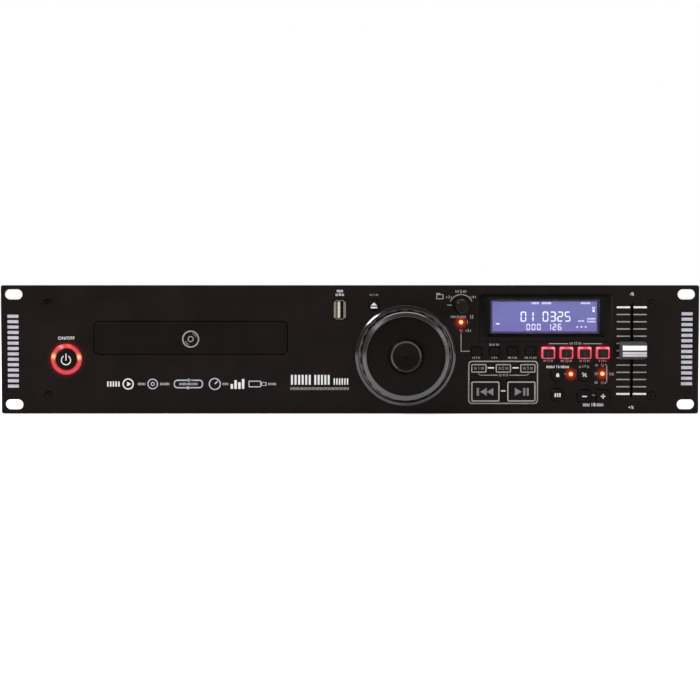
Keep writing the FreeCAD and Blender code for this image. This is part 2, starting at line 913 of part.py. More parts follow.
def rack_teeth(front):
    # straight teeth that face the middle of the tray, with a gap at the loading gear
    pitch = math.pi * gear_module
    line_x = tray_x + rack_x
    add = 0.9 * gear_module
    ded = 1.15 * gear_module
    lean = math.tan(math.radians(20))
    half = pitch / 4 - tooth_gap / 2
    count = int((tray_travel + 2 * pitch) / pitch) + 1
    start = gear_y - 0.5 * pitch
    root_x = line_x + ded
    points = [(root_x, start - pitch / 2)]
    for step in range(count):
        middle = start + step * pitch
        points.append((root_x, middle - half - ded * lean))
        points.append((line_x - add, middle - half + add * lean))
        points.append((line_x - add, middle + half - add * lean))
        points.append((root_x, middle + half + ded * lean))
    end = start + (count - 0.5) * pitch
    points.append((root_x, end))
    points.append((root_x + rack_back, end))
    points.append((root_x + rack_back, start - pitch / 2))
    return prism([(x, y, rack_low) for x, y in points], (0, 0, tray_low - rack_low + 1))


def gear_outline(teeth, turn, x, y, z):
    # involute flanks at a pressure angle of 20 degrees, thinned by the tooth gap
    pitch_radius = teeth * gear_module / 2
    base_radius = pitch_radius * math.cos(math.radians(20))
    tip_radius = pitch_radius + 0.9 * gear_module
    root_radius = pitch_radius - 1.2 * gear_module
    thick = math.pi / (2 * teeth) - tooth_gap / (2 * pitch_radius)
    thick += math.tan(math.radians(20)) - math.radians(20)
    flank = []
    low = max(base_radius, root_radius)
    for step in range(4):
        radius = low + (tip_radius - low) * step / 3
        roll = math.acos(min(1.0, base_radius / radius))
        flank.append((radius, thick - (math.tan(roll) - roll)))
    points = []
    for tooth in range(teeth):
        middle = 2 * math.pi * tooth / teeth + math.radians(turn)
        half = [(root_radius, flank[0][1])] + flank
        for radius, angle in half:
            points.append((radius, middle - angle))
        for radius, angle in reversed(half):
            points.append((radius, middle + angle))
    return [(x + r * math.cos(a), y + r * math.sin(a), z) for r, a in points]


def gear_places():
    # the loading gear, the pulley gear and the motor, from the rack inwards
    loading = tray_x + rack_x - loading_teeth * gear_module / 2
    pulley = loading - (loading_teeth + pulley_teeth) * gear_module / 2
    return loading, pulley, tray_x + motor_reach


def loader_gears():
    loading, pulley, motor = gear_places()
    bore = axle_radius + running_gap
    plate_top = frame_low + frame_thick
    wheel = prism(gear_outline(loading_teeth, 0, loading, gear_y, gear_low), (0, 0, gear_high - gear_low))
    hub = rod(axle_radius + hub_wall, plate_top + 0.3, gear_low + 0.5, loading, gear_y)
    save("loading_gear", joined(wheel, hub).cut(rod(bore, frame_low, gear_high + 1, loading, gear_y)))

    half_tooth = 180.0 / pulley_teeth
    pinion = prism(gear_outline(pulley_teeth, half_tooth, pulley, gear_y, pulley_high - 0.3),
                   (0, 0, gear_high - pulley_high + 0.3))
    wheel = grooved_wheel(pulley_radius, pulley, gear_y)
    hub = rod(axle_radius + hub_wall, plate_top + 0.3, pulley_low + 0.3, pulley, gear_y)
    save("pulley_gear", joined(wheel, pinion, hub).cut(rod(bore, frame_low, gear_high + 1, pulley, gear_y)))

    wheel = grooved_wheel(motor_pulley_radius, motor, gear_y)
    spindle = rod(motor_spindle_radius, frame_low - 3.5, pulley_high, motor, gear_y)
    save("motor_pulley", joined(wheel, spindle))
    drive_belt(pulley, motor)
    can = rod(motor_radius, frame_low - motor_length, frame_low, motor, gear_y)
    collar = rod(motor_collar_radius, frame_low, plate_top, motor, gear_y)
    bearing = rod(motor_spindle_radius + running_gap, frame_low - 4, plate_top + 1, motor, gear_y)
    save("loading_motor", joined(can, collar).cut(bearing))


def grooved_wheel(radius, x, y):
    middle = (pulley_low + pulley_high) / 2
    mouth = belt_depth / 2 + belt_gap
    deep = radius - groove_depth
    return revolved([(0, pulley_low), (radius, pulley_low), (radius, middle - mouth), (deep, middle - mouth),
                     (deep, middle + mouth), (radius, middle + mouth), (radius, pulley_high),
                     (0, pulley_high)], x, y)


def belt_loop(extra, far_x, near_x, low, high):
    # the outline round two wheels, as two round ends and the quadrangle between them
    big = pulley_radius - groove_depth + belt_gap + extra
    small = motor_pulley_radius - groove_depth + belt_gap + extra
    reach = far_x - near_x
    lean = math.acos((big - small) / reach)
    points = []
    for centre, radius, side in [(far_x, big, 1), (near_x, small, 1), (near_x, small, -1), (far_x, big, -1)]:
        x = centre - radius * math.cos(lean)
        points.append((x, gear_y + side * radius * math.sin(lean), low))
    return joined(rod(big, low, high, far_x, gear_y), rod(small, low, high, near_x, gear_y),
                  prism(points, (0, 0, high - low)))


def drive_belt(pulley, motor):
    middle = (pulley_low + pulley_high) / 2
    low = middle - belt_depth / 2
    high = middle + belt_depth / 2
    outer = belt_loop(belt_depth, pulley, motor, low, high)
    save("drive_belt", outer.cut(belt_loop(0, pulley, motor, low - 1, high + 1)))


# loader frame with its guides, axles and legs

def loader_frame():
    loading, pulley, motor = gear_places()
    plate_top = frame_low + frame_thick
    rail_in = tray_width / 2 + slide_gap
    wall_in = tray_width / 2 + tray_flange + slide_gap
    wall_out = wall_in + frame_wall
    front = frame_front
    tail = tray_length + frame_tail
    wall_top = bridge_low
    window = deck_half + deck_gap
    base = less(block(tray_x - wall_out, tray_x + wall_out, front, tail, frame_low, plate_top),
                block(tray_x - window, tray_x + window, cam_y - 0.3, hinge_y + 7, frame_low - 1,
                      plate_top + 1),
                rod(motor_collar_radius + button_gap, frame_low - 1, plate_top + 1, motor, gear_y))
    flange_high = tray_flange_low + tray_flange_thick
    pieces = []
    for side in (-1, 1):
        inner = tray_x + side * wall_in
        outer = tray_x + side * wall_out
        pieces.append(block(min(inner, outer), max(inner, outer), front, tail, frame_low, flange_high + 2.6))
        tower = block(min(inner, outer), max(inner, outer), disc_y - bridge_half, disc_y + bridge_half,
                      flange_high + 2, wall_top)
        pieces.append(tower)
        rail = tray_x + side * rail_in
        for low, high in [(tray_flange_low - slide_gap - rail_thick, tray_flange_low - slide_gap),
                          (flange_high + slide_gap, flange_high + slide_gap + rail_thick)]:
            pieces.append(block(min(rail, outer), max(rail, outer), front, tail, low, high))
        for y in (front + leg_radius + 1, tail - leg_radius - 1):
            pieces.append(rod(leg_radius, case_bottom + sheet, frame_low + 0.5,
                              tray_x + side * (wall_out - leg_radius), y))
        ear_in = tray_x + side * (window + 0.5)
        ear_out = ear_in + side * ear_thick
        ear = block(min(ear_in, ear_out), max(ear_in, ear_out), hinge_y - ear_half, hinge_y + ear_half,
                    frame_low + 0.5, hinge_z + hinge_pin_radius + rail_thick)
        pieces.append(ear)
    for x in (loading, pulley):
        pieces.append(rod(axle_radius, frame_low + 0.5, gear_high, x, gear_y))
    frame = joined(base, *pieces)
    hinge_bore = Part.makeCylinder(hinge_pin_radius + running_gap, 2 * (window + 10),
                                   vec(tray_x - window - 10, hinge_y, hinge_z), vec(1, 0, 0))
    save("loader_frame", frame.cut(hinge_bore))

    half = bridge_half + bridge_fold
    bridge = block(tray_x - wall_out, tray_x + wall_out, disc_y - half, disc_y + half,
                   bridge_low, bridge_low + bridge_thick)
    folds = []
    for side in (-1, 1):
        y = disc_y + side * half
        folds.append(block(tray_x - wall_out, tray_x + wall_out, min(y, y - side * bridge_thick),
                           max(y, y - side * bridge_thick), bridge_low, bridge_low + bridge_fold))
    hole = rod(puck_radius + 1.0, bridge_low - 1, bridge_low + bridge_fold + 1, tray_x, disc_y)
    save("clamp_bridge", joined(bridge, *folds).cut(hole))
    rest = bridge_low + bridge_thick + 0.3
    save("clamp_puck", revolved([
        (0, puck_low + puck_hollow), (hub_radius + 0.8, puck_low + puck_hollow),
        (hub_radius + 1.2, puck_low), (puck_radius, puck_low), (puck_radius, rest),
        (puck_flange_radius, rest), (puck_flange_radius, rest + puck_flange_thick),
        (puck_radius - 3, rest + puck_flange_thick + 0.4), (puck_radius - 4, rest + puck_crown),
        (0, rest + puck_crown)], tray_x, disc_y))


# traverse deck and what it carries

lift_angle = math.degrees(math.asin(deck_drop / (hinge_y - disc_y)))


def lowered(shape):
    turned = shape.copy()
    turned.rotate(vec(tray_x, hinge_y, hinge_z), vec(1, 0, 0), lift_angle)
    return turned


def cam_pin_height():
    # the height of the cam pin's middle at rest, where it crosses the slider
    turn = math.radians(lift_angle)
    pin_z = deck_low + deck_thick / 2 - hinge_z
    reach = (hinge_y - cam_y - cam_thick / 2 + pin_z * math.sin(turn)) / math.cos(turn)
    return hinge_z - reach * math.sin(turn) + pin_z * math.cos(turn)


def traverse():
    deck_top = deck_low + deck_thick
    deck_rear = hinge_y + 4
    deck = block(tray_x - deck_half, tray_x + deck_half, deck_front, deck_rear, deck_low, deck_top)
    sled_y = disc_y + sled_start
    rod_front = sled_y - sled_length / 2 - 5
    rod_rear = sled_y + sled_travel + sled_length / 2 + 2
    window = sled_half - 1
    deck = deck.cut(block(tray_x - window, tray_x + window, rod_front + 5, rod_rear - 1, deck_low - 1,
                          deck_top + 1))
    posts = []
    for side in (-1, 1):
        x = tray_x + side * rod_reach
        for y in (rod_front, rod_rear):
            posts.append(block(x - 2.6, x + 2.6, y, y + 4, deck_top - 0.5, rod_z + 2.4))
        edge = tray_x + side * deck_half
        posts.append(block(min(edge, edge - side * 2), max(edge, edge - side * 2), deck_front, deck_rear,
                           deck_top - 0.5, hinge_z + hinge_pin_radius + 1.2))
        pin_in = deck_half - 1
        pin_out = deck_half + deck_gap + 6
        start = tray_x + side * pin_in
        posts.append(Part.makeCylinder(hinge_pin_radius, pin_out - pin_in, vec(start, hinge_y, hinge_z),
                                       vec(side, 0, 0)))
    pin = Part.makeCylinder(cam_pin_radius, deck_front - cam_y + 0.8,
                            vec(tray_x + cam_pin_x, cam_y - 0.3, deck_low + deck_thick / 2), vec(0, 1, 0))
    pin_block = block(tray_x + cam_pin_x - 3, tray_x + cam_pin_x + 3, deck_front, deck_front + 5,
                      deck_low - 1, deck_top + 1)
    deck = joined(deck, pin, pin_block, *posts)
    rods = []
    for side in (-1, 1):
        x = tray_x + side * rod_reach
        start = vec(x, rod_front, rod_z)
        rods.append(Part.makeCylinder(rod_radius, rod_rear + 4 - rod_front, start, vec(0, 1, 0)))
        deck = deck.cut(Part.makeCylinder(rod_radius + 0.02, rod_rear + 6 - rod_front,
                                          vec(x, rod_front - 1, rod_z), vec(0, 1, 0)))
    motor_low = deck_low - spindle_motor_height
    shaft_gap = spindle_radius + running_gap
    motor_hole = rod(shaft_gap + collar_wall + 0.1, deck_low - 1, deck_top + 1, tray_x, disc_y)
    save("traverse_deck", lowered(deck.cut(motor_hole)))
    save("guide_rods", *[lowered(r) for r in rods])

    motor = joined(rod(spindle_motor_radius, motor_low, deck_low, tray_x, disc_y),
                   rod(shaft_gap + collar_wall, deck_low - 1, deck_top + collar_high, tray_x, disc_y))
    motor = motor.cut(rod(shaft_gap, motor_low + 1, deck_top + 4, tray_x, disc_y))
    save("spindle_motor", lowered(motor))

    neck_low = deck_top + collar_high + button_gap
    table = revolved([
        (0, motor_low + spindle_end_gap), (spindle_radius, motor_low + spindle_end_gap),
        (spindle_radius, neck_low), (turntable_neck, neck_low), (turntable_neck, turntable_low),
        (turntable_radius, turntable_low), (turntable_radius, turntable_high),
        (hub_radius, turntable_high), (hub_radius, turntable_high + hub_step),
        (hub_radius - hub_slope, hub_high), (0, hub_high)], tray_x, disc_y)
    save("turntable", lowered(table))

    front = sled_y - sled_length / 2
    rear = sled_y + sled_length / 2
    low = deck_top + 0.4
    body = block(tray_x - sled_half, tray_x + sled_half, front, rear, low, sled_top)
    ears = []
    for side in (-1, 1):
        x = tray_x + side * rod_reach
        inner = tray_x + side * (sled_half - 1)
        outer = x + side * 3.4
        ears.append(block(min(inner, outer), max(inner, outer), front + 1, rear - 1, low, sled_top))
    half = optic_side / 2
    optic = joined(block(tray_x - half, tray_x + half, sled_y - half, sled_y + half, sled_top - 0.5,
                         optic_top - 1.4),
                   rod(optic_radius, optic_top - 2, optic_top, tray_x, sled_y))
    sled = joined(body, optic, *ears)
    for side in (-1, 1):
        sled = sled.cut(Part.makeCylinder(rod_radius + running_gap, sled_length + 4,
                                          vec(tray_x + side * rod_reach, front - 2, rod_z), vec(0, 1, 0)))
    save("pickup_sled", lowered(sled))


def cam_slider():
    rest_z = cam_pin_height()
    raised_z = deck_low + deck_thick / 2
    pin_x = tray_x + cam_pin_x
    plate_top = frame_low + frame_thick
    left = pin_x - cam_travel - 6
    high = raised_z + cam_pin_radius + 2.4
    low = rest_z - cam_pin_radius - 3
    wall = block(left, left + cam_width, cam_y, cam_y + cam_thick, low, high)
    shelf = block(left, left + cam_width, cam_y - 5, cam_y + 0.5, plate_top + 0.3, plate_top + 1.7)
    half = cam_pin_radius + cam_slot_gap
    ends = []
    for x, z in [(pin_x, rest_z), (pin_x - cam_travel, raised_z)]:
        ends.append(Part.makeCylinder(half, cam_thick + 2, vec(x, cam_y - 1, z), vec(0, 1, 0)))
    slope = math.atan2(raised_z - rest_z, cam_travel)
    side_x = half * math.sin(slope)
    side_z = half * math.cos(slope)
    corners = [(pin_x + side_x, rest_z + side_z), (pin_x - cam_travel + side_x, raised_z + side_z),
               (pin_x - cam_travel - side_x, raised_z - side_z), (pin_x - side_x, rest_z - side_z)]
    middle = prism([(x, cam_y - 1, z) for x, z in corners], (0, cam_thick + 2, 0))
    save("cam_slider", less(joined(wall, shelf), joined(middle, *ends)))


# case

def case_shells():
    half = case_width / 2
    inner = half - sheet - sheet_gap
    floor = case_bottom + sheet
    roof = case_top - sheet
    wall_top = roof - sheet_gap
    base = block(-inner, inner, 0, case_depth, case_bottom, floor)
    rear = block(-inner, inner, case_depth - sheet, case_depth, case_bottom, wall_top)
    sides = []
    for side in (-1, 1):
        outer = side * inner
        face = side * (inner - sheet)
        sides.append(block(min(outer, face), max(outer, face), 0, case_depth, case_bottom, wall_top))
        tab_in = side * (inner - tab_width)
        for low, high in [(case_bottom, low_tab_top), (high_tab_low, wall_top)]:
            sides.append(block(min(outer, tab_in), max(outer, tab_in), 0, sheet, low, high))
    pegs = []
    for x0, x1, y0, y1 in (main_board, power_board):
        for x in (x0 + standoff_inset, x1 - standoff_inset):
            for y in (y0 + standoff_inset, y1 - standoff_inset):
                pegs.append(rod(standoff_radius, floor - 0.3, inner_board_low, x, y))
    base = joined(base, rear, *sides, *pegs)
    holes = [block(inlet_x - inlet_width / 2 - 0.3, inlet_x + inlet_width / 2 + 0.3, case_depth - 3,
                   case_depth + 1, inlet_z - inlet_height / 2 - 0.3, inlet_z + inlet_height / 2 + 0.3)]
    for step in range(phono_count):
        holes.append(along_y(phono_radius + 0.6, case_depth - 3, case_depth + 1, phono_x + step * phono_pitch,
                             phono_z))
    screw_holes = []
    for side_x in (-1, 1):
        for side_z in (-1, 1):
            screw_holes.append(along_y(screw_radius + screw_gap, -1, sheet + 1, side_x * panel_screw_x,
                                       side_z * panel_screw_z))
        for y in side_screw_y:
            screw_holes.append(along_x(screw_radius + screw_gap, side_x * (inner - 4), side_x * (half + 2),
                                       y, side_screw_z))
    for x in (-rear_screw_x(), rear_screw_x()):
        screw_holes.append(along_y(screw_radius + screw_gap, case_depth - 3, case_depth + 5, x,
                                   case_top - cover_lip / 2))
    save("case_base", less(base, *holes, *screw_holes))

    lid = block(-half, half, 0.4, case_depth + sheet + sheet_gap, roof, case_top)
    lip = block(-half, half, case_depth + sheet_gap, case_depth + sheet_gap + sheet, case_top - cover_lip,
                case_top)
    walls = []
    vents = []
    for side in (-1, 1):
        outer = side * half
        face = side * (half - sheet)
        walls.append(block(min(outer, face), max(outer, face), 0.4, case_depth, case_bottom + 2, case_top))
        for step in range(vent_count):
            y = vent_start + step * vent_pitch
            vents.append(block(min(outer, face) - 1, max(outer, face) + 1, y, y + vent_width,
                               -vent_height / 2, vent_height / 2))
    cover = less(joined(lid, lip, *walls), *vents, *screw_holes)
    save("top_cover", cover)


def rear_screw_x():
    return case_width / 2 - rear_screw_inset


def along_y(radius, start, end, x, z):
    return Part.makeCylinder(radius, end - start, vec(x, start, z), vec(0, 1, 0))


def along_x(radius, start, end, y, z):
    way = 1 if end > start else -1
    return Part.makeCylinder(radius, abs(end - start), vec(start, y, z), vec(way, 0, 0))


def case_screws():
    screws = []
    seat = -panel_front + screw_recess
    for side_x in (-1, 1):
        for side_z in (-1, 1):
            x = side_x * panel_screw_x
            z = side_z * panel_screw_z
            screws.append(joined(along_y(screw_head_radius, seat - screw_head_height, seat, x, z),
                                 along_y(screw_radius, seat, seat + screw_length, x, z)))
        face = side_x * case_width / 2
        for y in side_screw_y:
            screws.append(joined(along_x(screw_head_radius, face, face + side_x * screw_head_height, y,
                                         side_screw_z),
                                 along_x(screw_radius, face, face - side_x * screw_length, y, side_screw_z)))
        face = case_depth + sheet_gap + sheet
        x = side_x * rear_screw_x()
        z = case_top - cover_lip / 2
        screws.append(joined(along_y(screw_head_radius, face, face + screw_head_height, x, z),
                             along_y(screw_radius, face - screw_length, face, x, z)))
    save("case_screws", *screws)


# boards, power supply and sockets

def part_on(board, size, lift=0.0):
    # a block that stands on a board, by its left, front, width, depth and height
    left, front, width, depth, height = size
    x = board[0] + left
    y = board[2] + front
    top = inner_board_low + board_thick
    return block(x, x + width, y, y + depth, top + lift, top + height)


def main_electronics():
    x0, x1, y0, y1 = main_board
    top = inner_board_low + board_thick
    board = block(x0, x1, y0, y1, inner_board_low, top)
    parts = [part_on(main_board, size) for size in (processor, converter, ribbon_plug, panel_plug)]
    for step in range(3):
        parts.append(rod(capacitor_radius, top, top + capacitor_height, x0 + capacitor_left,
                         y0 + capacitor_front + capacitor_pitch * step))
    sink = part_on(main_board, heat_sink)
    for step in range(3):
        gap = [heat_sink[0] - 1, heat_sink[1] + sink_first_gap + sink_fin_pitch * step,
               heat_sink[2] + 2, sink_fin_gap, heat_sink[4] + 1]
        sink = sink.cut(part_on(main_board, gap, sink_base))
    save("main_board", joined(board, sink, *parts))

    x0, x1, y0, y1 = power_board
    board = block(x0, x1, y0, y1, inner_board_low, top)
    stack = part_on(power_board, core)
    for front in core_notch_front:
        notch = [core[0] - 1, core[1] + front, core[2] + 2, core_notch[0], core[4] + 1]
        stack = stack.cut(part_on(power_board, notch, core[4] - core_notch[1]))
    parts = [part_on(power_board, winding, winding_lift), part_on(power_board, fuse_holder)]
    for step in range(2):
        parts.append(rod(reservoir_radius, top, top + reservoir_height,
                         x0 + reservoir_left + reservoir_pitch * step, y0 + reservoir_front))
    save("power_supply", joined(board, stack, *parts))


def mains_inlet():
    face = case_depth
    half_w = inlet_width / 2
    half_h = inlet_height / 2
    flange = block(inlet_x - half_w - inlet_ear, inlet_x + half_w + inlet_ear, face, face + inlet_flange,
                   inlet_z - half_h - inlet_lip, inlet_z + half_h + inlet_lip)
    shell = block(inlet_x - half_w, inlet_x + half_w, face - inlet_depth, face + inlet_proud,
                  inlet_z - half_h, inlet_z + half_h)
    left = inlet_x - half_w + inlet_wall
    right = inlet_x + half_w - inlet_wall
    low = inlet_z - half_h + inlet_wall
    high = inlet_z + half_h - inlet_wall
    cavity_points = [(left, low), (right, low), (right, high - inlet_slant), (right - inlet_slant, high),
                     (left + inlet_slant, high), (left, high - inlet_slant)]
    cavity = prism([(x, face - inlet_depth + 2, z) for x, z in cavity_points], (0, inlet_depth + 3, 0))
    half_x, half_z = blade_half
    blades = []
    for side, drop in [(-1, -blade_drop), (0, blade_drop), (1, -blade_drop)]:
        x = inlet_x + side * blade_pitch
        z = inlet_z + drop
        blades.append(block(x - half_x, x + half_x, face - inlet_depth + 1, face - 1, z - half_z, z + half_z))
    screws = [along_y(inlet_screw_radius, face - 1, face + 5, inlet_x + side * inlet_screw_x, inlet_z)
              for side in (-1, 1)]
    tabs = block(inlet_x - blade_pitch - 2, inlet_x + blade_pitch + 2, face - inlet_depth - 6,
                 face - inlet_depth, inlet_z - 3, inlet_z - 2)
    body = joined(flange, shell).cut(cavity)
    save("mains_inlet", less(joined(body, tabs, *blades), *screws))


def phono_sockets():
    sockets = []
    for step in range(phono_count):
        x = phono_x + step * phono_pitch
        half = phono_block / 2
        inside = case_depth - sheet
        body = block(x - half, x + half, inside - phono_block_depth, inside,
                     inner_board_low + board_thick, phono_z + half)
        tip = case_depth + phono_shoulder + phono_length
        neck = along_y(phono_radius, inside - 1, case_depth + 0.5, x, phono_z)
        shoulder = along_y(phono_radius + phono_rim, case_depth, case_depth + phono_shoulder, x, phono_z)
        barrel = along_y(phono_radius, case_depth, tip, x, phono_z)
        bore = along_y(phono_bore_radius, inside - phono_bore_depth, tip + 1, x, phono_z)
        sockets.append(joined(body, neck, shoulder, barrel).cut(bore))
    save("phono_sockets", *sockets)


button_set()
power_button()
indicator_lights()
display()
data_socket()
jog_wheel()
track_control()
pitch_fader()
front_panel()
control_board()
tray_door()
save("disc_tray", tray_shape())
loader_gears()
loader_frame()
traverse()
cam_slider()
case_shells()
case_screws()
main_electronics()
mains_inlet()
phono_sockets()
print("lift angle", round(lift_angle, 3), "cam pin height", round(cam_pin_height(), 3))
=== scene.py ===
import bpy
import math
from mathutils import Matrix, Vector


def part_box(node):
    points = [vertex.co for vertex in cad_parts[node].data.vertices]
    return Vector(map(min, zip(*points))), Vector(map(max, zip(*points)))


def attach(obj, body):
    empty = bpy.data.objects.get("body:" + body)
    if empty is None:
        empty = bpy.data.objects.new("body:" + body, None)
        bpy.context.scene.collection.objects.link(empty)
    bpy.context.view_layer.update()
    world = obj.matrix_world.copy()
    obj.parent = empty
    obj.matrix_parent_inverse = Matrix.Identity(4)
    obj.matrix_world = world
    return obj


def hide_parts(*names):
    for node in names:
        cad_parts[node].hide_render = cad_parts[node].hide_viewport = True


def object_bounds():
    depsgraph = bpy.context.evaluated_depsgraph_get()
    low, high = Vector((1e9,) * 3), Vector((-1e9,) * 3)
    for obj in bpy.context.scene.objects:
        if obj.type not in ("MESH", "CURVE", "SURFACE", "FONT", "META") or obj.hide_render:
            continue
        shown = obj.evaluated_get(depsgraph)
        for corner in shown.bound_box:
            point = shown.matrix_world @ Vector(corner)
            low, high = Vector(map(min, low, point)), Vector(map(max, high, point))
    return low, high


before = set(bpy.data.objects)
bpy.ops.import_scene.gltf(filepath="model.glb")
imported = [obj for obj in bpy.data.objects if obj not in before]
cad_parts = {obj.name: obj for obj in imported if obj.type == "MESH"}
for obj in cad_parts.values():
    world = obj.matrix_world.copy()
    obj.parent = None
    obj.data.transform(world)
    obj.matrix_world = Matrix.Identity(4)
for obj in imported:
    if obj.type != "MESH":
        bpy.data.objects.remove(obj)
cadLow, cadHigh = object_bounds()
print("frame loaded with", len(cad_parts), "nodes")

mm = 0.001
quarterTurn = math.radians(90)
scene = bpy.context.scene
scene.view_settings.view_transform = "Standard"
finishes = {}


# modelling helpers; all sizes and places are given in millimetres

def leaveEdit():
    bpy.ops.object.mode_set(mode="OBJECT")


def deselect():
    if bpy.context.object and bpy.context.object.mode != "OBJECT":
        leaveEdit()
    bpy.ops.object.select_all(action="DESELECT")


def pickOnly(*objs):
    deselect()
    for obj in objs:
        obj.select_set(True)
    bpy.context.view_layer.objects.active = objs[0]


def settle(obj):
    # the place, turn and size go into the mesh
    pickOnly(obj)
    bpy.ops.object.transform_apply(location=True, rotation=True, scale=True)
    return obj


def add(primitive, x, y, z, turn=0.0, scale=(1, 1, 1), **values):
    # a primitive that faces the front
    deselect()
    primitive(location=(x * mm, y * mm, z * mm), rotation=(quarterTurn, math.radians(-turn), 0), **values)
    bpy.context.object.scale = scale
    return settle(bpy.context.object)


def cylinder(x, y, z, radius, length, sides):
    # lies front to back about its middle
    return add(bpy.ops.mesh.primitive_cylinder_add, x, y, z, vertices=sides, radius=radius * mm, depth=length * mm)


def editMesh(obj, parts="faces", test=None):
    # enters edit mode with all chosen, or with the faces or edges that pass the test
    pickOnly(obj)
    scene.tool_settings.mesh_select_mode = (False, parts == "edges", parts == "faces")
    bpy.ops.object.mode_set(mode="EDIT")
    bpy.ops.mesh.select_all(action="DESELECT" if test else "SELECT")
    if test:
        leaveEdit()
        for part in obj.data.polygons if parts == "faces" else obj.data.edges:
            part.select = test(part)
        bpy.ops.object.mode_set(mode="EDIT")


def mergePoints():
    bpy.ops.mesh.remove_doubles(threshold=0.002 * mm)


def tidyMesh(obj):
    editMesh(obj)
    mergePoints()
    bpy.ops.mesh.normals_make_consistent(inside=False)
    leaveEdit()


def roundFront(obj, width, segments):
    # bevels the rim of the foremost face
    points = obj.data.vertices
    front = min(point.co.y for point in points) + 0.01 * mm
    editMesh(obj, "edges", lambda edge: all(points[index].co.y < front for index in edge.vertices))
    bpy.ops.mesh.bevel(offset=width * mm, segments=segments, affect="EDGES")
    leaveEdit()


def applyModifier(obj, kind, **values):
    pickOnly(obj)
    modifier = obj.modifiers.new(kind.lower(), kind)
    for key, value in values.items():
        setattr(modifier, key, value)
    bpy.ops.object.modifier_apply(modifier=modifier.name)


def thicken(obj, thickness, offset=1):
    applyModifier(obj, "SOLIDIFY", thickness=thickness * mm, offset=offset)


def bevelEdges(obj, width, segments, angle=30):
    applyModifier(obj, "BEVEL", width=width * mm, segments=segments, limit_method="ANGLE",
        angle_limit=math.radians(angle))


def joinAll(objs):
    pickOnly(*objs)
    if len(objs) > 1:
        bpy.ops.object.join()
    return objs[0]


def copyTo(obj, x=0.0, y=0.0, z=0.0):
    # a copy with its own mesh, moved by so much
    twin = obj.copy()
    twin.data = obj.data.copy()
    bpy.context.collection.objects.link(twin)
    twin.location = obj.location + Vector((x, y, z)) * mm
    return twin


def lathe(points, x, z, sides):
    # a closed ring about an axis that runs front to back, from radius and depth
    turned = add(bpy.ops.mesh.primitive_circle_add, x, points[0][1], z, vertices=sides, radius=points[0][0] * mm)
    editMesh(turned, "edges")
    for (radius, depth), (nextRadius, nextDepth) in zip(points, points[1:] + points[:1]):
        bpy.ops.mesh.extrude_edges_move()
        grow = nextRadius / radius
        bpy.ops.transform.resize(value=(grow, 1, grow), center_override=(x * mm, depth * mm, z * mm))
        bpy.ops.transform.translate(value=(0, (nextDepth - depth) * mm, 0))
    leaveEdit()
    tidyMesh(turned)
    return turned


def dress(obj, name, finishName, body="root", standsFor=None, smooth=0):
    # the finish, the body it rides on, its slot, the node it stands for, and how far its faces shade smooth
    obj.name = name
    obj.data.materials.clear()
    obj.data.materials.append(finishes[finishName])
    if standsFor:
        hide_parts(standsFor)
    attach(obj, body)
    if smooth:
        pickOnly(obj)
        bpy.ops.object.shade_smooth_by_angle(angle=math.radians(smooth))
    return obj


def spot(name):
    # the middle of a node as seen from the front, and how far forward it comes
    low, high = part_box(name)
    return (low.x + high.x) / 2 / mm, (low.z + high.z) / 2 / mm, low.y / mm


panelFace = spot("front_panel")[2]
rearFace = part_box("case_base")[1].y / mm
effectButtons = ["effect_button_" + str(step) for step in range(1, 5)]


# marks: flat shapes that face the front, drawn across and up

def bar(x, z, width, height, turn=0.0, corner=0.0, steps=4):
    mark = add(bpy.ops.mesh.primitive_plane_add, x, 0, z, turn, (width * mm, height * mm, 1), size=1)
    if corner:
        editMesh(mark)
        bpy.ops.mesh.bevel(offset=corner * mm, segments=steps, affect="VERTICES")
        leaveEdit()
    return mark


def hollow(mark, line):
    editMesh(mark)
    bpy.ops.mesh.inset(thickness=line * mm, depth=0)
    bpy.ops.mesh.delete(type="FACE")
    leaveEdit()
    return mark


def box(x, z, width, height, corner, line):
    return hollow(bar(x, z, width, height, corner=corner), line)


def disc(x, z, radius, sides=32, turn=0.0):
    return add(bpy.ops.mesh.primitive_circle_add, x, 0, z, turn, vertices=sides, radius=radius * mm,
        fill_type="NGON")


def ring(x, z, radius, line, start=0.0, sweep=360.0, sides=72):
    # a ring, or the stretch of it that starts at an angle counted from the right
    def outside(face):
        angle = math.degrees(math.atan2(face.center.z - z * mm, face.center.x - x * mm))
        return (angle - start) % 360 > sweep

    mark = hollow(disc(x, z, radius, sides), line)
    if sweep < 360:
        editMesh(mark, "faces", outside)
        bpy.ops.mesh.delete(type="FACE")
        leaveEdit()
    return mark


def triangle(x, z, radius, turn=0.0, stretch=1.0):
    # points up when the turn is nothing
    mark = disc(x, z, radius, 3, turn)
    editMesh(mark)
    bpy.ops.transform.resize(value=(stretch, 1, 1), center_override=(x * mm, 0, z * mm))
    leaveEdit()
    return mark


def stroke(points, line):
    marks = []
    for (x0, z0), (x1, z1) in zip(points, points[1:]):
        length = math.hypot(x1 - x0, z1 - z0) + line * 0.6   # the strokes overlap at their corners
        turn = math.degrees(math.atan2(z1 - z0, x1 - x0))
        marks.append(bar((x0 + x1) / 2, (z0 + z1) / 2, length, line, turn))
    return marks


def number(text, x, z, height, weight=0.03):
    deselect()
    bpy.ops.object.text_add(location=(x * mm, 0, z * mm), rotation=(quarterTurn, 0, 0))
    letters = bpy.context.object.data
    letters.body = text
    letters.align_x = letters.align_y = "CENTER"
    letters.size = height * mm * 1.4          # a figure is 0.7 of its size tall
    letters.offset = height * mm * weight
    letters.resolution_u = 2
    bpy.ops.object.convert(target="MESH")
    return settle(bpy.context.object)


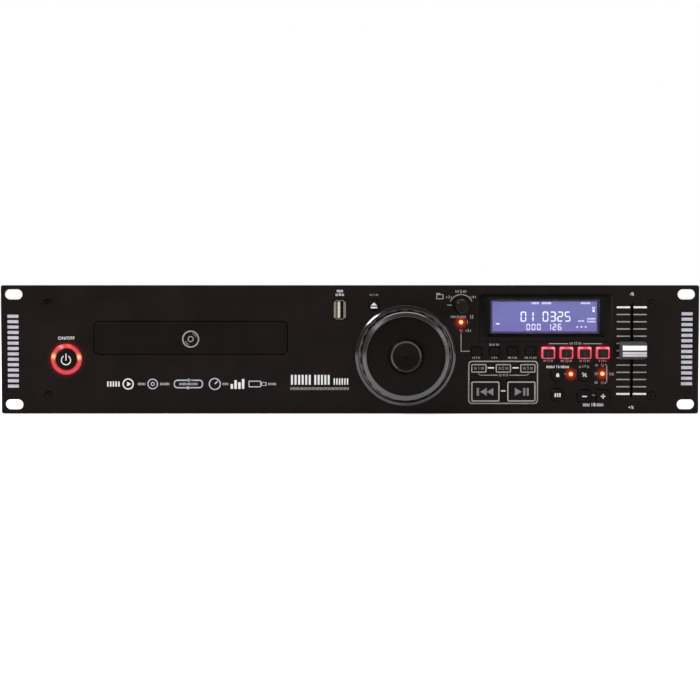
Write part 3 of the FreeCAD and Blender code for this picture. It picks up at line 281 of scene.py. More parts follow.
def ticks(left, right, z, height, pitch=0.85, width=0.42):
    # a short ruler of upright strokes between two places
    count = max(1, round((right - left) / pitch))
    step = (right - left) / count
    first = bar(left + step / 2, z, width, height)
    return [first] + [copyTo(first, step * index) for index in range(1, count)]


def rulers(z, height, *spans):
    return [mark for left, right in spans for mark in ticks(left, right, z, height)]


def label(text, x, z, width, height):
    # a plain number in a short ruler, as wide as the lettering it stands for
    marks = [number(text, x, z, height)]
    middle = height * (0.36 * len(text) + 0.22)
    if width / 2 - middle > 0.5:
        marks += rulers(z, height * 0.8, (x - width / 2, x - middle), (x + middle, x + width / 2))
    return marks


def labels(*rows):
    # text, place across (or the node it stands under), place up, width, height
    marks = []
    for text, place, *rest in rows:
        marks += label(text, spot(place)[0] if isinstance(place, str) else place, *rest)
    return marks


inkLook = {"depth": 0.06, "sink": 0.01}   # how thick the print is, and how little of it lies in the surface


def printOn(name, marks, finishName, body="root", about=None, back=0.0, depth=inkLook["depth"],
        rear=False):
    # joins the marks, gives them their thickness and lays them on the panel, on a node's face, or on the rear
    x, z, face = spot(about) if about else (0.0, 0.0, panelFace)
    whole = joinAll(marks)
    whole.location = (x * mm, (face + back + inkLook["sink"]) * mm, z * mm)
    if rear:
        whole.location.y = (rearFace - inkLook["sink"]) * mm
        whole.rotation_euler.z = math.pi
    settle(whole)
    editMesh(whole)
    mergePoints()
    leaveEdit()
    thicken(whole, depth)
    return dress(whole, name, finishName, body)


# shader helpers

def feed(tree, sockets, values):
    # links each socket to another one, or sets its plain value; a colour is given as three numbers
    for key, value in values.items():
        if isinstance(value, bpy.types.NodeSocket):
            tree.links.new(value, sockets[key])
        elif sockets[key].type == "RGBA":
            sockets[key].default_value = (*value, 1.0)
        else:
            sockets[key].default_value = value


def node(tree, kind, values=None, **settings):
    made = tree.nodes.new("ShaderNode" + kind)
    for key, value in settings.items():
        setattr(made, key, value)
    feed(tree, made.inputs, values or {})
    return made


def mathNode(tree, operation, first, second=0.5, clamp=False):
    return node(tree, "Math", {0: first, 1: second}, operation=operation, use_clamp=clamp).outputs[0]


def vectorNode(tree, operation, first, second, output="Value"):
    return node(tree, "VectorMath", {0: first, 1: second}, operation=operation).outputs[output]


def moved(tree, place, **values):
    return node(tree, "Mapping", {"Vector": place, **values}).outputs["Vector"]


def mixColour(tree, mask, first, second, blend="MIX"):
    return node(tree, "Mix", {0: mask, 6: first, 7: second}, data_type="RGBA", blend_type=blend).outputs[2]


def noise(tree, vector, scale, detail, roughness):
    return node(tree, "TexNoise", {
        "Vector": vector, "Scale": scale, "Detail": detail, "Roughness": roughness}).outputs["Fac"]


def spread(tree, mask, low, high):
    return node(tree, "MapRange", {"Value": mask, "To Min": low, "To Max": high}).outputs["Result"]


def rise(tree, value, low, high, start=0.0, end=1.0):
    return node(tree, "MapRange", {
        "Value": value, "From Min": low, "From Max": high, "To Min": start, "To Max": end}).outputs["Result"]


def bumpOf(tree, height, strength, distance):
    return node(tree, "Bump", {"Height": height, "Strength": strength, "Distance": distance}).outputs["Normal"]


def makeGroup(name, inputs, outputs):
    # what goes in is a vector or a number, and what comes out is a number
    group = bpy.data.node_groups.new(name, "ShaderNodeTree")
    for key, value in {"Vector": (0.0, 0.0, 0.0), **inputs}.items():
        kind = "NodeSocketFloat" if isinstance(value, float) else "NodeSocketVector"
        group.interface.new_socket(name=key, in_out="INPUT", socket_type=kind).default_value = value
    for key in outputs:
        group.interface.new_socket(name=key, in_out="OUTPUT", socket_type="NodeSocketFloat")
    given = group.nodes.new("NodeGroupInput").outputs
    return group, given["Vector"], given, group.nodes.new("NodeGroupOutput").inputs


def useGroup(tree, group, vector, **values):
    made = tree.nodes.new("ShaderNodeGroup")
    made.node_tree = group
    feed(tree, made.inputs, {"Vector": vector, **values})
    return made.outputs


# grain: two sizes of noise for a bump, and a broad blotch for colour and roughness
grainGroup, vector, given, result = makeGroup("mouldGrain", {"Scale": 2000.0, "Patch": 40.0}, ["Height", "Blotch"])
pitScale = mathNode(grainGroup, "MULTIPLY", given["Scale"], 0.6)
pits = node(grainGroup, "TexVoronoi", {"Vector": vector, "Scale": pitScale}, feature="F1").outputs["Distance"]
fine = noise(grainGroup, vector, given["Scale"], 3.0, 0.6)
broad = mathNode(grainGroup, "SUBTRACT", noise(grainGroup, vector, given["Patch"], 4.0, 0.55), 0.3)
feed(grainGroup, result, {
    "Height": mathNode(grainGroup, "ADD", fine, mathNode(grainGroup, "MULTIPLY", pits, 0.5)),
    "Blotch": mathNode(grainGroup, "MULTIPLY", broad, 2.5, True)})

# dust: a pale film that lies on what faces up, broken up by noise
dustGroup, vector, given, result = makeGroup("dustFilm", {"Amount": 0.2}, ["Mask"])
facing = node(dustGroup, "SeparateXYZ", {0: node(dustGroup, "NewGeometry").outputs["Normal"]}).outputs["Z"]
upward = mathNode(dustGroup, "MULTIPLY", facing, given["Amount"], True)
patches = noise(dustGroup, vector, 180.0, 6.0, 0.7)
feed(dustGroup, result, {"Mask": mathNode(dustGroup, "MULTIPLY", upward, patches, True)})

# falloff: a mask round a centre, from full inside the near radius to none at the far one; it carries the glow painted
# on the panel round the lamps, and the hot spots in lit plastic
falloffGroup, vector, given, result = makeGroup(
    "radialFalloff", {"Centre": (0.0, 0.0, 0.0), "Near": 0.001, "Far": 0.006}, ["Mask"])
fall = rise(falloffGroup, vectorNode(falloffGroup, "DISTANCE", vector, given["Centre"]), given["Near"], given["Far"],
    1.0, 0.0)
feed(falloffGroup, result, {"Mask": mathNode(falloffGroup, "POWER", fall, 2.2, True)})

# band: full along the middle of a round band about an axis that runs front to back, fading to its edges
bandGroup, vector, given, result = makeGroup(
    "roundBand", {"Centre": (0.0, 0.0, 0.0), "Middle": 0.01, "Half": 0.002}, ["Mask"])
flat = vectorNode(bandGroup, "MULTIPLY", vector, (1.0, 0.0, 1.0), "Vector")
offset = mathNode(bandGroup, "SUBTRACT", vectorNode(bandGroup, "DISTANCE", flat, given["Centre"]), given["Middle"])
share = mathNode(bandGroup, "DIVIDE", mathNode(bandGroup, "ABSOLUTE", offset), given["Half"])
within = mathNode(bandGroup, "SUBTRACT", 1.0, share, True)
feed(bandGroup, result, {"Mask": mathNode(bandGroup, "POWER", within, 0.45, True)})

# step: full past a plane, which is given by a direction and how far along it the plane lies
stepGroup, vector, given, result = makeGroup("planeStep", {"Axis": (0.0, 0.0, 1.0), "Level": 0.0}, ["Mask"])
past = mathNode(stepGroup, "SUBTRACT", vectorNode(stepGroup, "DOT_PRODUCT", vector, given["Axis"]), given["Level"])
feed(stepGroup, result, {"Mask": mathNode(stepGroup, "MULTIPLY", past, 20000.0, True)})
print("shared shader groups made")


def startFinish(name, grain, patch):
    # the tree, the shader's sockets, the place on the object, and the grain's height and blotch
    finish = finishes[name] = bpy.data.materials.new(name)
    finish.use_nodes = True
    tree = finish.node_tree
    tree.nodes.clear()
    shader = node(tree, "BsdfPrincipled")
    node(tree, "OutputMaterial", {"Surface": shader.outputs[0]})
    place = node(tree, "TexCoord").outputs["Object"]
    grained = useGroup(tree, grainGroup, place, Scale=grain, Patch=patch)
    return tree, shader.inputs, place, grained["Height"], grained["Blotch"]


def bandMask(tree, place, x, z, middle, half):
    return useGroup(tree, bandGroup, place, Centre=(x * mm, 0.0, z * mm), Middle=middle * mm, Half=half * mm)["Mask"]


def falloffMask(tree, place, x, z, face, near, far):
    return useGroup(
        tree, falloffGroup, place, Centre=(x * mm, face * mm, z * mm), Near=near * mm, Far=far * mm)["Mask"]


def stepMask(tree, place, axis, level):
    return useGroup(tree, stepGroup, place, Axis=axis, Level=level * mm)["Mask"]


def mouldedFinish(name, look):
    # moulded plastic, paint or rubber: grain, broad colour change, and a little dust
    tree, shader, place, height, blotch = startFinish(name, look["grain"], look.get("patch", 45.0))
    colour = mixColour(tree, blotch, look["dark"], look["light"])
    if "dust" in look:
        dust = useGroup(tree, dustGroup, place, Amount=look["dust"])["Mask"]
        colour = mixColour(tree, dust, colour, (0.30, 0.29, 0.28))
    feed(tree, shader, {
        "Base Color": colour, "Roughness": spread(tree, blotch, *look["rough"]),
        "Normal": bumpOf(tree, height, look.get("bump", 0.2), look.get("depth", 0.00004)),
        "Specular IOR Level": look.get("specular", 0.5), "Coat Weight": look.get("coat", 0.0),
        "Coat Roughness": 0.1})
    return tree, shader, place


def brushedFinish(name, look):
    # turned or rolled metal: fine lines along one axis, and patches of duller surface
    tree, shader, place, height, blotch = startFinish(name, 1800.0, look.get("patch", 120.0))
    lines = noise(tree, moved(tree, place, Scale=look["lines"]), 1.0, 5.0, 0.7)
    mask = mathNode(tree, "MULTIPLY", mathNode(tree, "ADD", lines, blotch), 0.5)
    feed(tree, shader, {
        "Base Color": mixColour(tree, mask, look["dark"], look["light"]), "Metallic": 1.0,
        "Roughness": spread(tree, mask, *look["rough"]), "Normal": bumpOf(tree, lines, 0.15, 0.00003)})


# finishes: two colours, the scale of the grain and of the broad patches, and two roughnesses

mouldedLooks = {
    "caseBlack": dict(dark=(0.0088, 0.0086, 0.009), light=(0.0115, 0.0113, 0.0118), grain=1500, patch=14,
        rough=(0.5, 0.56), bump=0.6, depth=0.00008, dust=0.02, specular=0.2),
    "panelBlack": dict(dark=(0.005, 0.003, 0.0024), light=(0.0078, 0.005, 0.0042), grain=2300,
        rough=(0.38, 0.5), bump=0.35, specular=0.07, dust=0.02),
    "buttonBlack": dict(dark=(0.003, 0.0022, 0.002), light=(0.005, 0.0038, 0.0036), grain=3200,
        rough=(0.34, 0.46), bump=0.25, specular=0.07),
    "padBlack": dict(dark=(0.01, 0.004, 0.0045), light=(0.016, 0.0055, 0.006), grain=3000,
        rough=(0.25, 0.38), specular=0.14),
    "padInk": dict(dark=(0.03, 0.008, 0.01), light=(0.045, 0.012, 0.014), grain=3000, rough=(0.3, 0.42), specular=0.2),
    "jogFace": dict(dark=(0.003, 0.0021, 0.0016), light=(0.005, 0.0037, 0.003), grain=3000,
        rough=(0.22, 0.34), specular=0.06),
    "bezelBlack": dict(dark=(0.0085, 0.0065, 0.0062), light=(0.013, 0.0105, 0.01), grain=1500,
        rough=(0.1, 0.18), bump=0.03, specular=0.7, coat=0.15),
    "gripBlack": dict(dark=(0.005, 0.004, 0.0038), light=(0.0085, 0.007, 0.0068), grain=2600,
        rough=(0.12, 0.22), bump=0.15, specular=0.55),
    "knobBlack": dict(dark=(0.0032, 0.002, 0.0017), light=(0.0052, 0.0036, 0.0032), grain=3600,
        rough=(0.18, 0.28), bump=0.08, depth=0.00002, specular=0.18),
    "doorBlack": dict(dark=(0.0044, 0.0028, 0.002), light=(0.0066, 0.0044, 0.0034), grain=2400,
        rough=(0.32, 0.44), specular=0.06),
    "lensBlack": dict(dark=(0.0036, 0.0028, 0.0026), light=(0.0052, 0.0042, 0.004), grain=900,
        rough=(0.06, 0.12), bump=0.03, specular=0.06),
    "lampDark": dict(dark=(0.06, 0.006, 0.004), light=(0.11, 0.012, 0.008), grain=2600,
        rough=(0.14, 0.24), bump=0.1, coat=0.3),
    "trayBlack": dict(dark=(0.0105, 0.01, 0.01), light=(0.0145, 0.014, 0.014), grain=1700, patch=20,
        rough=(0.4, 0.48), bump=0.4, dust=0.02, specular=0.35),
    "frameBlack": dict(dark=(0.015, 0.015, 0.0155), light=(0.0195, 0.0195, 0.02), grain=1500, patch=20,
        rough=(0.48, 0.58), bump=0.4, specular=0.35),
    "gearWhite": dict(dark=(0.62, 0.6, 0.55), light=(0.74, 0.72, 0.67), grain=2500, rough=(0.28, 0.42)),
    "beltRubber": dict(dark=(0.012, 0.012, 0.012), light=(0.022, 0.022, 0.022), grain=3500, rough=(0.55, 0.7),
        bump=0.5),
    "inletBlack": dict(dark=(0.012, 0.012, 0.012), light=(0.02, 0.02, 0.02), grain=1900, rough=(0.35, 0.5), bump=0.35),
    "faderGrey": dict(dark=(0.04, 0.038, 0.042), light=(0.062, 0.06, 0.066), grain=3000, rough=(0.36, 0.5), bump=0.25),
    "inkSilver": dict(dark=(0.32, 0.312, 0.36), light=(0.42, 0.412, 0.47), grain=5000, patch=400, rough=(0.4, 0.55)),
}
alikeLooks = [     # what some finishes share, and the two colours of each
    (dict(grain=5000, patch=400, rough=(0.45, 0.6)), {
        "inkWhite": ((0.56, 0.55, 0.56), (0.66, 0.65, 0.66)),
        "inkGrey": ((0.21, 0.195, 0.19), (0.27, 0.255, 0.25)),
        "inkDim": ((0.12, 0.112, 0.108), (0.16, 0.15, 0.145))}),
    (dict(grain=3000, rough=(0.3, 0.42), bump=0.15), {
        "faderWhite": ((0.76, 0.75, 0.77), (0.84, 0.83, 0.85)),
        "faderLight": ((0.4, 0.39, 0.42), (0.5, 0.49, 0.52))}),
    (dict(grain=2600, rough=(0.35, 0.5)), {
        "ringWhite": ((0.62, 0.62, 0.6), (0.74, 0.74, 0.72)),
        "ringRed": ((0.42, 0.018, 0.015), (0.55, 0.03, 0.022)),
        "tongueWhite": ((0.55, 0.5, 0.4), (0.68, 0.63, 0.52))}),
]
for shared, colours in alikeLooks:
    for name, (dark, light) in colours.items():
        mouldedLooks[name] = dict(shared, dark=dark, light=light)
moulded = {name: mouldedFinish(name, look) for name, look in mouldedLooks.items()}

metalLooks = {
    "screwBlack": dict(dark=(0.008, 0.0068, 0.0064), light=(0.016, 0.0135, 0.0125), lines=(2500, 2500, 2500),
        rough=(0.3, 0.42)),
    "shaftSteel": dict(dark=(0.42, 0.42, 0.43), light=(0.6, 0.6, 0.61), lines=(900, 6000, 900), rough=(0.2, 0.38)),
    "socketSteel": dict(dark=(0.21, 0.19, 0.155), light=(0.31, 0.285, 0.235), lines=(6000, 900, 900),
        rough=(0.22, 0.4)),
    "motorSteel": dict(dark=(0.4, 0.4, 0.41), light=(0.48, 0.48, 0.49), lines=(900, 6000, 900),
        rough=(0.32, 0.42), patch=25),
    "phonoNickel": dict(dark=(0.55, 0.54, 0.52), light=(0.72, 0.71, 0.68), lines=(900, 7000, 900), rough=(0.16, 0.3)),
    "bushBrass": dict(dark=(0.45, 0.31, 0.12), light=(0.64, 0.46, 0.2), lines=(900, 6000, 900), rough=(0.22, 0.38)),
}
for name, look in metalLooks.items():
    brushedFinish(name, look)


# lamps, and the glow painted on the panel round them: near radius, far radius and colour

lampPlaces = {
    "source": (76.8, 18.9), "sourceDark": (76.8, 13.0), "tempo": (152.9, -17.0),
    "rangeHigh": (174.7, -11.0), "range": (174.7, -16.8), "rangeLow": (174.7, -22.9),
}
litLamps = ["source", "tempo", "range"]
paintedGlowLook = {"lamp": (1.0, 6.0, (0.62, 0.035, 0.006)), "pad": (3.6, 8.2, (0.15, 0.002, 0.009)),
    "ring": (10.0, 14.5, (0.12, 0.002, 0.004))}


def paintGlowOnPanel():
    # painted light: the red glow round the lit lamps, the effect pads and the power ring is painted into the panel's
    # own emission
    tree, shader, place = moulded["panelBlack"]
    lights = [(lampPlaces[lamp], "lamp") for lamp in litLamps]
    lights += [(spot(button), "pad") for button in effectButtons] + [(spot("power_light_ring"), "ring")]
    total = None
    for (x, z, *_), kind in lights:
        near, far, colour = paintedGlowLook[kind]
        glow = mixColour(tree, falloffMask(tree, place, x, z, panelFace, near, far), (0.0, 0.0, 0.0), colour)
        total = mixColour(tree, 1.0, total, glow, "ADD") if total else glow
    feed(tree, shader, {"Emission Color": total, "Emission Strength": 1.0})


def tint(tree, shader, mask, colour):
    # lays a colour and a clear coat over part of a moulded finish; here the lighter colour is a painted highlight on
    # the jog's lip and a painted sheen on the grip's sloping ring
    body = shader["Base Color"].links[0].from_socket
    feed(tree, shader, {"Base Color": mixColour(tree, mask, body, colour), "Coat Weight": mask})


def ringJogFace():
    # very fine rings round the middle of the wheel, and the polished lip of its middle, whose lighter colour all round
    # is a painted highlight
    look = {"rings": 900.0, "lip": (9.9, 0.75), "colour": (0.016, 0.0145, 0.014)}
    tree, shader, place = moulded["jogFace"]
    x, z, face = spot("jog_plate")
    centred = moved(tree, place, Location=(-x * mm, 0.0, -z * mm))
    rings = node(tree, "TexWave", {"Vector": centred, "Scale": look["rings"], "Distortion": 0.4, "Detail": 1.0},
        wave_type="RINGS", rings_direction="Y").outputs["Fac"]
    feed(tree, shader, {"Normal": bumpOf(tree, rings, 0.12, 0.00002)})
    # the lighter colour on the lip is a painted highlight; its clear coat is real gloss
    tint(tree, shader, bandMask(tree, place, x, z, *look["lip"]), look["colour"])


def glossGrip():
    # glossy in the finger scallops, satin on the sloping ring round the face; that ring is also painted a lighter
    # colour, a painted sheen
    look = {"land": (28.7, 2.1), "colour": (0.018, 0.0115, 0.011), "rough": (0.13, 0.24)}
    tree, shader, place = moulded["gripBlack"]
    land = bandMask(tree, place, *spot("jog_grip_ring")[:2], *look["land"])
    feed(tree, shader, {"Roughness": spread(tree, land, *look["rough"]), "Coat Roughness": 0.20})
    # the lighter colour on the sloping ring is painted sheen
    tint(tree, shader, land, look["colour"])


def litFinish(name, look, x=0.0, z=0.0, face=0.0):
    # plastic lit from behind: the colour rises in spots, and the grain breaks it up
    tree, shader, place, height, blotch = startFinish(name, 2600.0, 160.0)
    colour = mixColour(tree, blotch, look["dark"], look["light"])
    # where the look has a band, the colour darkens to the edge colour towards both edges of the ring: painted shade of
    # its rounded section
    if "band" in look:
        colour = mixColour(tree, bandMask(tree, place, x, z, *look["band"]), look["edge"], colour)
    for across, up, near, far, hot in look["spots"]:
        colour = mixColour(tree, falloffMask(tree, place, x + across, z + up, face, near, far), colour, hot)
    if "behind" in look:
        colour = mixColour(tree, stepMask(tree, place, (0.0, 1.0, 0.0), 0.0), colour, look["behind"])
    feed(tree, shader, {
        "Emission Color": colour, "Emission Strength": look["strength"], "Base Color": look["body"],
        "Roughness": spread(tree, blotch, 0.16, 0.3), "Normal": bumpOf(tree, height, 0.1, 0.00003)})


# spots: place across and up from the middle, near and far radius, colour
ringLook = {
    "dark": (0.58, 0.02, 0.038), "light": (0.72, 0.038, 0.062), "body": (0.1, 0.004, 0.005), "strength": 1.0,
    # band and edge: the glow turns dark red towards both edges of the ring, painted shade of its rounded section
    "behind": (0.004, 0.0, 0.0), "band": (9.1, 1.85), "edge": (0.13, 0.004, 0.006),
    "spots": [(-8.7, 2.0, 0.5, 3.6, (1.0, 0.72, 0.22)), (8.8, 1.5, 0.5, 3.6, (1.0, 0.78, 0.3)),
        (-3.2, 8.4, 0.2, 3.0, (1.0, 0.3, 0.3)), (2.0, 9.4, 0.2, 3.4, (0.9, 0.1, 0.03))],
}
padLook = {
    "dark": (0.58, 0.04, 0.075), "light": (0.72, 0.085, 0.135), "body": (0.16, 0.006, 0.01), "strength": 1.0,
    "behind": (0.004, 0.0, 0.0),
    "spots": [(3.4, 3.4, 0.3, 3.0, (1.0, 0.36, 0.42)), (-3.4, 3.6, 0.2, 3.6, (1.0, 0.28, 0.36)),
        (0.0, -3.6, 0.4, 3.4, (0.62, 0.16, 0.22))],
}
lampLook = {
    "dark": (1.0, 0.16, 0.02), "light": (1.0, 0.22, 0.035), "body": (0.5, 0.1, 0.02), "strength": 1.25,
    "spots": [(*lampPlaces[lamp], 0.35, 2.3, (1.0, 0.86, 0.5)) for lamp in litLamps],
}
paintGlowOnPanel()
ringJogFace()
glossGrip()
litFinish("ringLit", ringLook, *spot("power_light_ring"))
litFinish("lampLit", lampLook, face=spot("indicator_lights")[2])
for step, button in enumerate(effectButtons):
    litFinish("padLit" + str(step + 1), padLook, *spot(button))


# boards: the direction in which their parts stand, and where these begin along it

greenBoard = dict(dark=(0.008, 0.055, 0.024), light=(0.012, 0.08, 0.034), trace=(0.02, 0.125, 0.055),
    part=(0.014, 0.014, 0.015))
tanBoard = dict(dark=(0.16, 0.11, 0.045), light=(0.22, 0.155, 0.065), trace=(0.3, 0.22, 0.1),
    part=(0.03, 0.028, 0.026))
boardLooks = {
    "boardMain": dict(greenBoard, axis=(0.0, 0.0, 1.0), level=-32.35, turn=0.0),
    "boardFront": dict(greenBoard, axis=(0.0, -1.0, 0.0), level=-13.45, turn=quarterTurn),
    "boardPower": dict(tanBoard, axis=(0.0, 0.0, 1.0), level=-32.35, turn=0.0),
}
for name, look in boardLooks.items():
    # a circuit board with its fine tracks, and dark parts that stand on it
    tree, shader, place, height, blotch = startFinish(name, 2000.0, 60.0)
    turned = moved(tree, place, Rotation=(look["turn"], 0.0, 0.0))
    tracks = node(tree, "TexBrick", {
        "Vector": turned, "Scale": 1.0, "Mortar Size": 0.00022, "Mortar Smooth": 0.2, "Brick Width": 0.021,
        "Row Height": 0.0016, "Bias": -1.0}).outputs["Fac"]
    board = mixColour(tree, tracks, mixColour(tree, blotch, look["dark"], look["light"]), look["trace"])
    stands = stepMask(tree, place, look["axis"], look["level"])
    feed(tree, shader, {
        "Base Color": mixColour(tree, stands, board, look["part"]), "Roughness": spread(tree, stands, 0.28, 0.42),
        "Normal": bumpOf(tree, height, 0.2, 0.00003)})

screenLooks = {
    "screenLit": dict(dark=(0.106, 0.109, 0.342), light=(0.128, 0.124, 0.38), foot=(0.12, 0.092, 0.378),
        climb=(11.5, 24.0), body=(0.02, 0.02, 0.06)),
    "screenRim": dict(dark=(0.002, 0.0015, 0.028), light=(0.004, 0.003, 0.045), body=(0.01, 0.01, 0.03)),
    "segmentLit": dict(dark=(0.74, 0.75, 0.95), light=(0.82, 0.83, 1.0), body=(0.3, 0.3, 0.35)),
}
for name, look in screenLooks.items():
    # the lit screen: an even glow, crossed by a fine grid of cells
    tree, shader, place, height, blotch = startFinish(name, 1500.0, 30.0)
    colour = mixColour(tree, blotch, look["dark"], look["light"])
    if "foot" in look:
        low, high = look["climb"]
        climb = rise(tree, node(tree, "SeparateXYZ", {0: place}).outputs["Z"], low * mm, high * mm)
        colour = mixColour(tree, climb, look["foot"], colour)
    cells = node(tree, "TexBrick", {
        "Vector": moved(tree, place, Rotation=(quarterTurn, 0.0, 0.0)), "Scale": 1.0, "Mortar Size": 0.00004,
        "Mortar Smooth": 0.3, "Brick Width": 0.0006, "Row Height": 0.0006, "Color1": (1, 1, 1),
        "Color2": (0.96, 0.96, 0.96), "Mortar": (0.86, 0.86, 0.88)}, offset=0.0).outputs["Color"]
    feed(tree, shader, {
        "Emission Color": mixColour(tree, 1.0, colour, cells, "MULTIPLY"), "Emission Strength": 1.0,
        "Base Color": look["body"], "Roughness": spread(tree, blotch, 0.3, 0.42)})

# the clear pane over the screen
tree, shader, place, height, blotch = startFinish("paneClear", 300.0, 25.0)
feed(tree, shader, {
    "Base Color": mixColour(tree, blotch, (0.94, 0.95, 0.97), (0.98, 0.98, 1.0)),
    "Roughness": spread(tree, blotch, 0.01, 0.04), "Metallic": 0.0, "Transmission Weight": 1.0, "IOR": 1.18})
print(len(finishes), "finishes made")


# what each CAD node is finished in

nodeFinishes = {
    "panelBlack": "front_panel",
    "caseBlack": "case_base top_cover",
    "screwBlack": "case_screws",
    "buttonBlack": """power_button eject_button source_button time_button single_button program_button
        loop_in_button loop_out_button reloop_button cue_button play_button tempo_lock_button
        pitch_range_button tap_button bend_down_button bend_up_button""",
    "lensBlack": "display_lens",
    "frameBlack": "display_module loader_frame track_encoder fader_body cam_slider clamp_puck",
    "ringLit": "power_light_ring",
    "lampDark": "indicator_lights",
    "bezelBlack": "jog_housing",
    "gripBlack": "jog_grip_ring",
    "jogFace": "jog_plate",
    "shaftSteel": "jog_shaft guide_rods fader_lever track_rotor",
    "socketSteel": "data_socket",
    "knobBlack": "track_knob",
    "faderGrey": "fader_cap",
    "doorBlack": "tray_door",
    "trayBlack": "disc_tray pickup_sled turntable",
    "gearWhite": "loading_gear pulley_gear motor_pulley",
    "beltRubber": "drive_belt",
    "motorSteel": "loading_motor spindle_motor clamp_bridge traverse_deck",
    "boardMain": "main_board",
    "boardFront": "control_board",
    "boardPower": "power_supply",
    "inletBlack": "mains_inlet",
    "phonoNickel": "phono_sockets",
    "padLit1": "effect_button_1", "padLit2": "effect_button_2",
    "padLit3": "effect_button_3", "padLit4": "effect_button_4",
}
for finishName, names in nodeFinishes.items():
    for name in names.split():
        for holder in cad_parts[name].material_slots:
            holder.material = finishes[finishName]
print("nodes finished")


# display: a gloss border with a clear pane, the lit screen and its figures

displayLook = {
    "windowX": 134.9, "windowZ": 22.7, "windowWidth": 75.4, "windowHeight": 23.6, "borderLine": 1.2,
    "borderThick": 3.2, "borderCorner": 2.0, "borderEdge": 0.25,
    "paneGap": 0.1, "paneCorner": 0.5, "paneThick": 1.5, "paneDrop": 0.12, "paneEdge": 0.08,
    "screenWidth": 72.6, "screenHeight": 21.4, "screenBack": 0.7, "screenThick": 0.12,
    "rimWidth": 75.0, "rimHeight": 23.2, "rimLine": 1.3, "rimThick": 0.22,
}
# figures: text, first place across, place up, width, height, pitch and line
figureRows = [("01 0325", 120.2, 22.7, 3.9, 7.0, 5.1, 0.75), ("000 126", 123.6, 15.5, 2.5, 4.3, 3.63, 0.5)]
segmentsOf = {"0": "abcdef", "1": "bc", "2": "abged", "3": "abgcd", "5": "afgcd", "6": "afgedc"}


def slab(mark, back, thick, edge, segments, angle=30):
    # gives a mark its depth behind a plane, and rounds its edges
    mark.location.y = back * mm
    thicken(settle(mark), thick, -1)
    bevelEdges(mark, edge, segments, angle)
    return mark


def displayBorder():
    look = displayLook
    low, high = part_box("display_lens")
    width = (high.x - low.x) / mm
    height = (high.z - low.z) / mm
    x, z, face = spot("display_lens")
    border = bar(x, z, width, height, corner=look["borderCorner"], steps=6)
    editMesh(border)
    bpy.ops.mesh.inset(thickness=look["borderLine"] * mm, depth=0)
    wide = look["windowWidth"] / (width - 2 * look["borderLine"])
    tall = look["windowHeight"] / (height - 2 * look["borderLine"])
    bpy.ops.transform.resize(value=(wide, 1, tall), center_override=(x * mm, 0, z * mm))
    bpy.ops.transform.translate(value=((look["windowX"] - x) * mm, 0, (look["windowZ"] - z) * mm))
    bpy.ops.mesh.delete(type="FACE")
    leaveEdit()
    slab(border, face, look["borderThick"], look["borderEdge"], 3, 50)
    dress(border, "displayBorder", "lensBlack", "root", "display_lens", 35)

    pane = bar(look["windowX"], look["windowZ"], look["windowWidth"] - look["paneGap"],
        look["windowHeight"] - look["paneGap"], corner=look["paneCorner"])
    slab(pane, face + look["paneDrop"], look["paneThick"], look["paneEdge"], 2)
    dress(pane, "displayPane", "paneClear", "root")


def figure(digit, x, z, width, height, line):
    # a seven-bar figure
    side = (width - line) / 2
    top = (height - line) / 2
    upper = height / 4 - line / 8
    flat = (width - 1.25 * line, line)
    tall = (line, height / 2 - 0.75 * line)
    places = {"a": (0, top, flat), "g": (0, 0, flat), "d": (0, -top, flat), "b": (side, upper, tall),
        "c": (side, -upper, tall), "f": (-side, upper, tall), "e": (-side, -upper, tall)}
    for name in segmentsOf[digit]:
        across, up, size = places[name]
        yield bar(x + across, z + up, *size, corner=line * 0.42, steps=1)


def screenPieces():
    look = displayLook
    x, z = look["windowX"], look["windowZ"]
    back = look["screenBack"] - panelFace
    printOn("screenRim", [box(x, z, look["rimWidth"], look["rimHeight"], 0.3, look["rimLine"])], "screenRim",
        back=back, depth=look["rimThick"])
    printOn("screenLit", [bar(x, z, look["screenWidth"], look["screenHeight"], corner=0.4)], "screenLit",
        back=back, depth=look["screenThick"])
    marks = []
    for text, left, up, width, height, pitch, line in figureRows:
        for step, digit in enumerate(text):
            if digit != " ":
                marks += figure(digit, left + step * pitch, up, width, height, line)
    marks += [disc(143.15, z + side * 1.4, 0.32, 12) for side in (-1, 1)]
    # small rulers along the top, at the right and at the lower left
    marks += rulers(32.0, 1.5, (125.7, 130.9), (132.8, 139.5)) + rulers(32.0, 1.3, (159.8, 166.5))
    marks += rulers(21.2, 1.1, (164.4, 170.2)) + rulers(19.2, 1.1, (164.4, 170.2)) + rulers(19.6, 1.0, (158.0, 162.4))
    for across, up, wide, tall in ((157.6, 15.5, 1.0, 0.9), (160.5, 15.5, 1.0, 0.9), (163.4, 15.5, 1.0, 0.9),
            (102.4, 17.7, 2.6, 0.8), (168.8, 26.6, 1.5, 1.7)):
        marks.append(bar(across, up, wide, tall, corner=0.25, steps=2))
    marks.append(box(168.8, 28.6, 1.9, 1.6, 0.3, 0.35))
    printOn("screenFigures", marks, "segmentLit", back=back - look["screenThick"])


displayBorder()
screenPieces()
print("display made")


# lamps: a domed lens each, lit or dark

lampLens = {"radius": 1.5, "proud": 1.0, "sunk": 1.6, "edge": 0.9}


def lampDomes(name, finishName, lamps):
    look = lampLens
    domes = []
    for lamp in lamps:
        x, z = lampPlaces[lamp]
        domes.append(cylinder(x, panelFace + (look["sunk"] - look["proud"]) / 2, z, look["radius"],
            look["proud"] + look["sunk"], 28))
        roundFront(domes[-1], look["edge"], 6)
    dress(joinAll(domes), name, finishName, "root", "indicator_lights", 50)


lampDomes("litDomes", "lampLit", litLamps)
lampDomes("darkDomes", "lampDark", [lamp for lamp in lampPlaces if lamp not in litLamps])
print("lamps made")


# what is printed on the buttons, drawn about the middle of each; each print rides on its own button

padInsert = {"width": 7.2, "height": 6.0, "corner": 0.5, "thick": 0.32, "figure": 2.4, "drop": 0.45, "edge": 0.12}


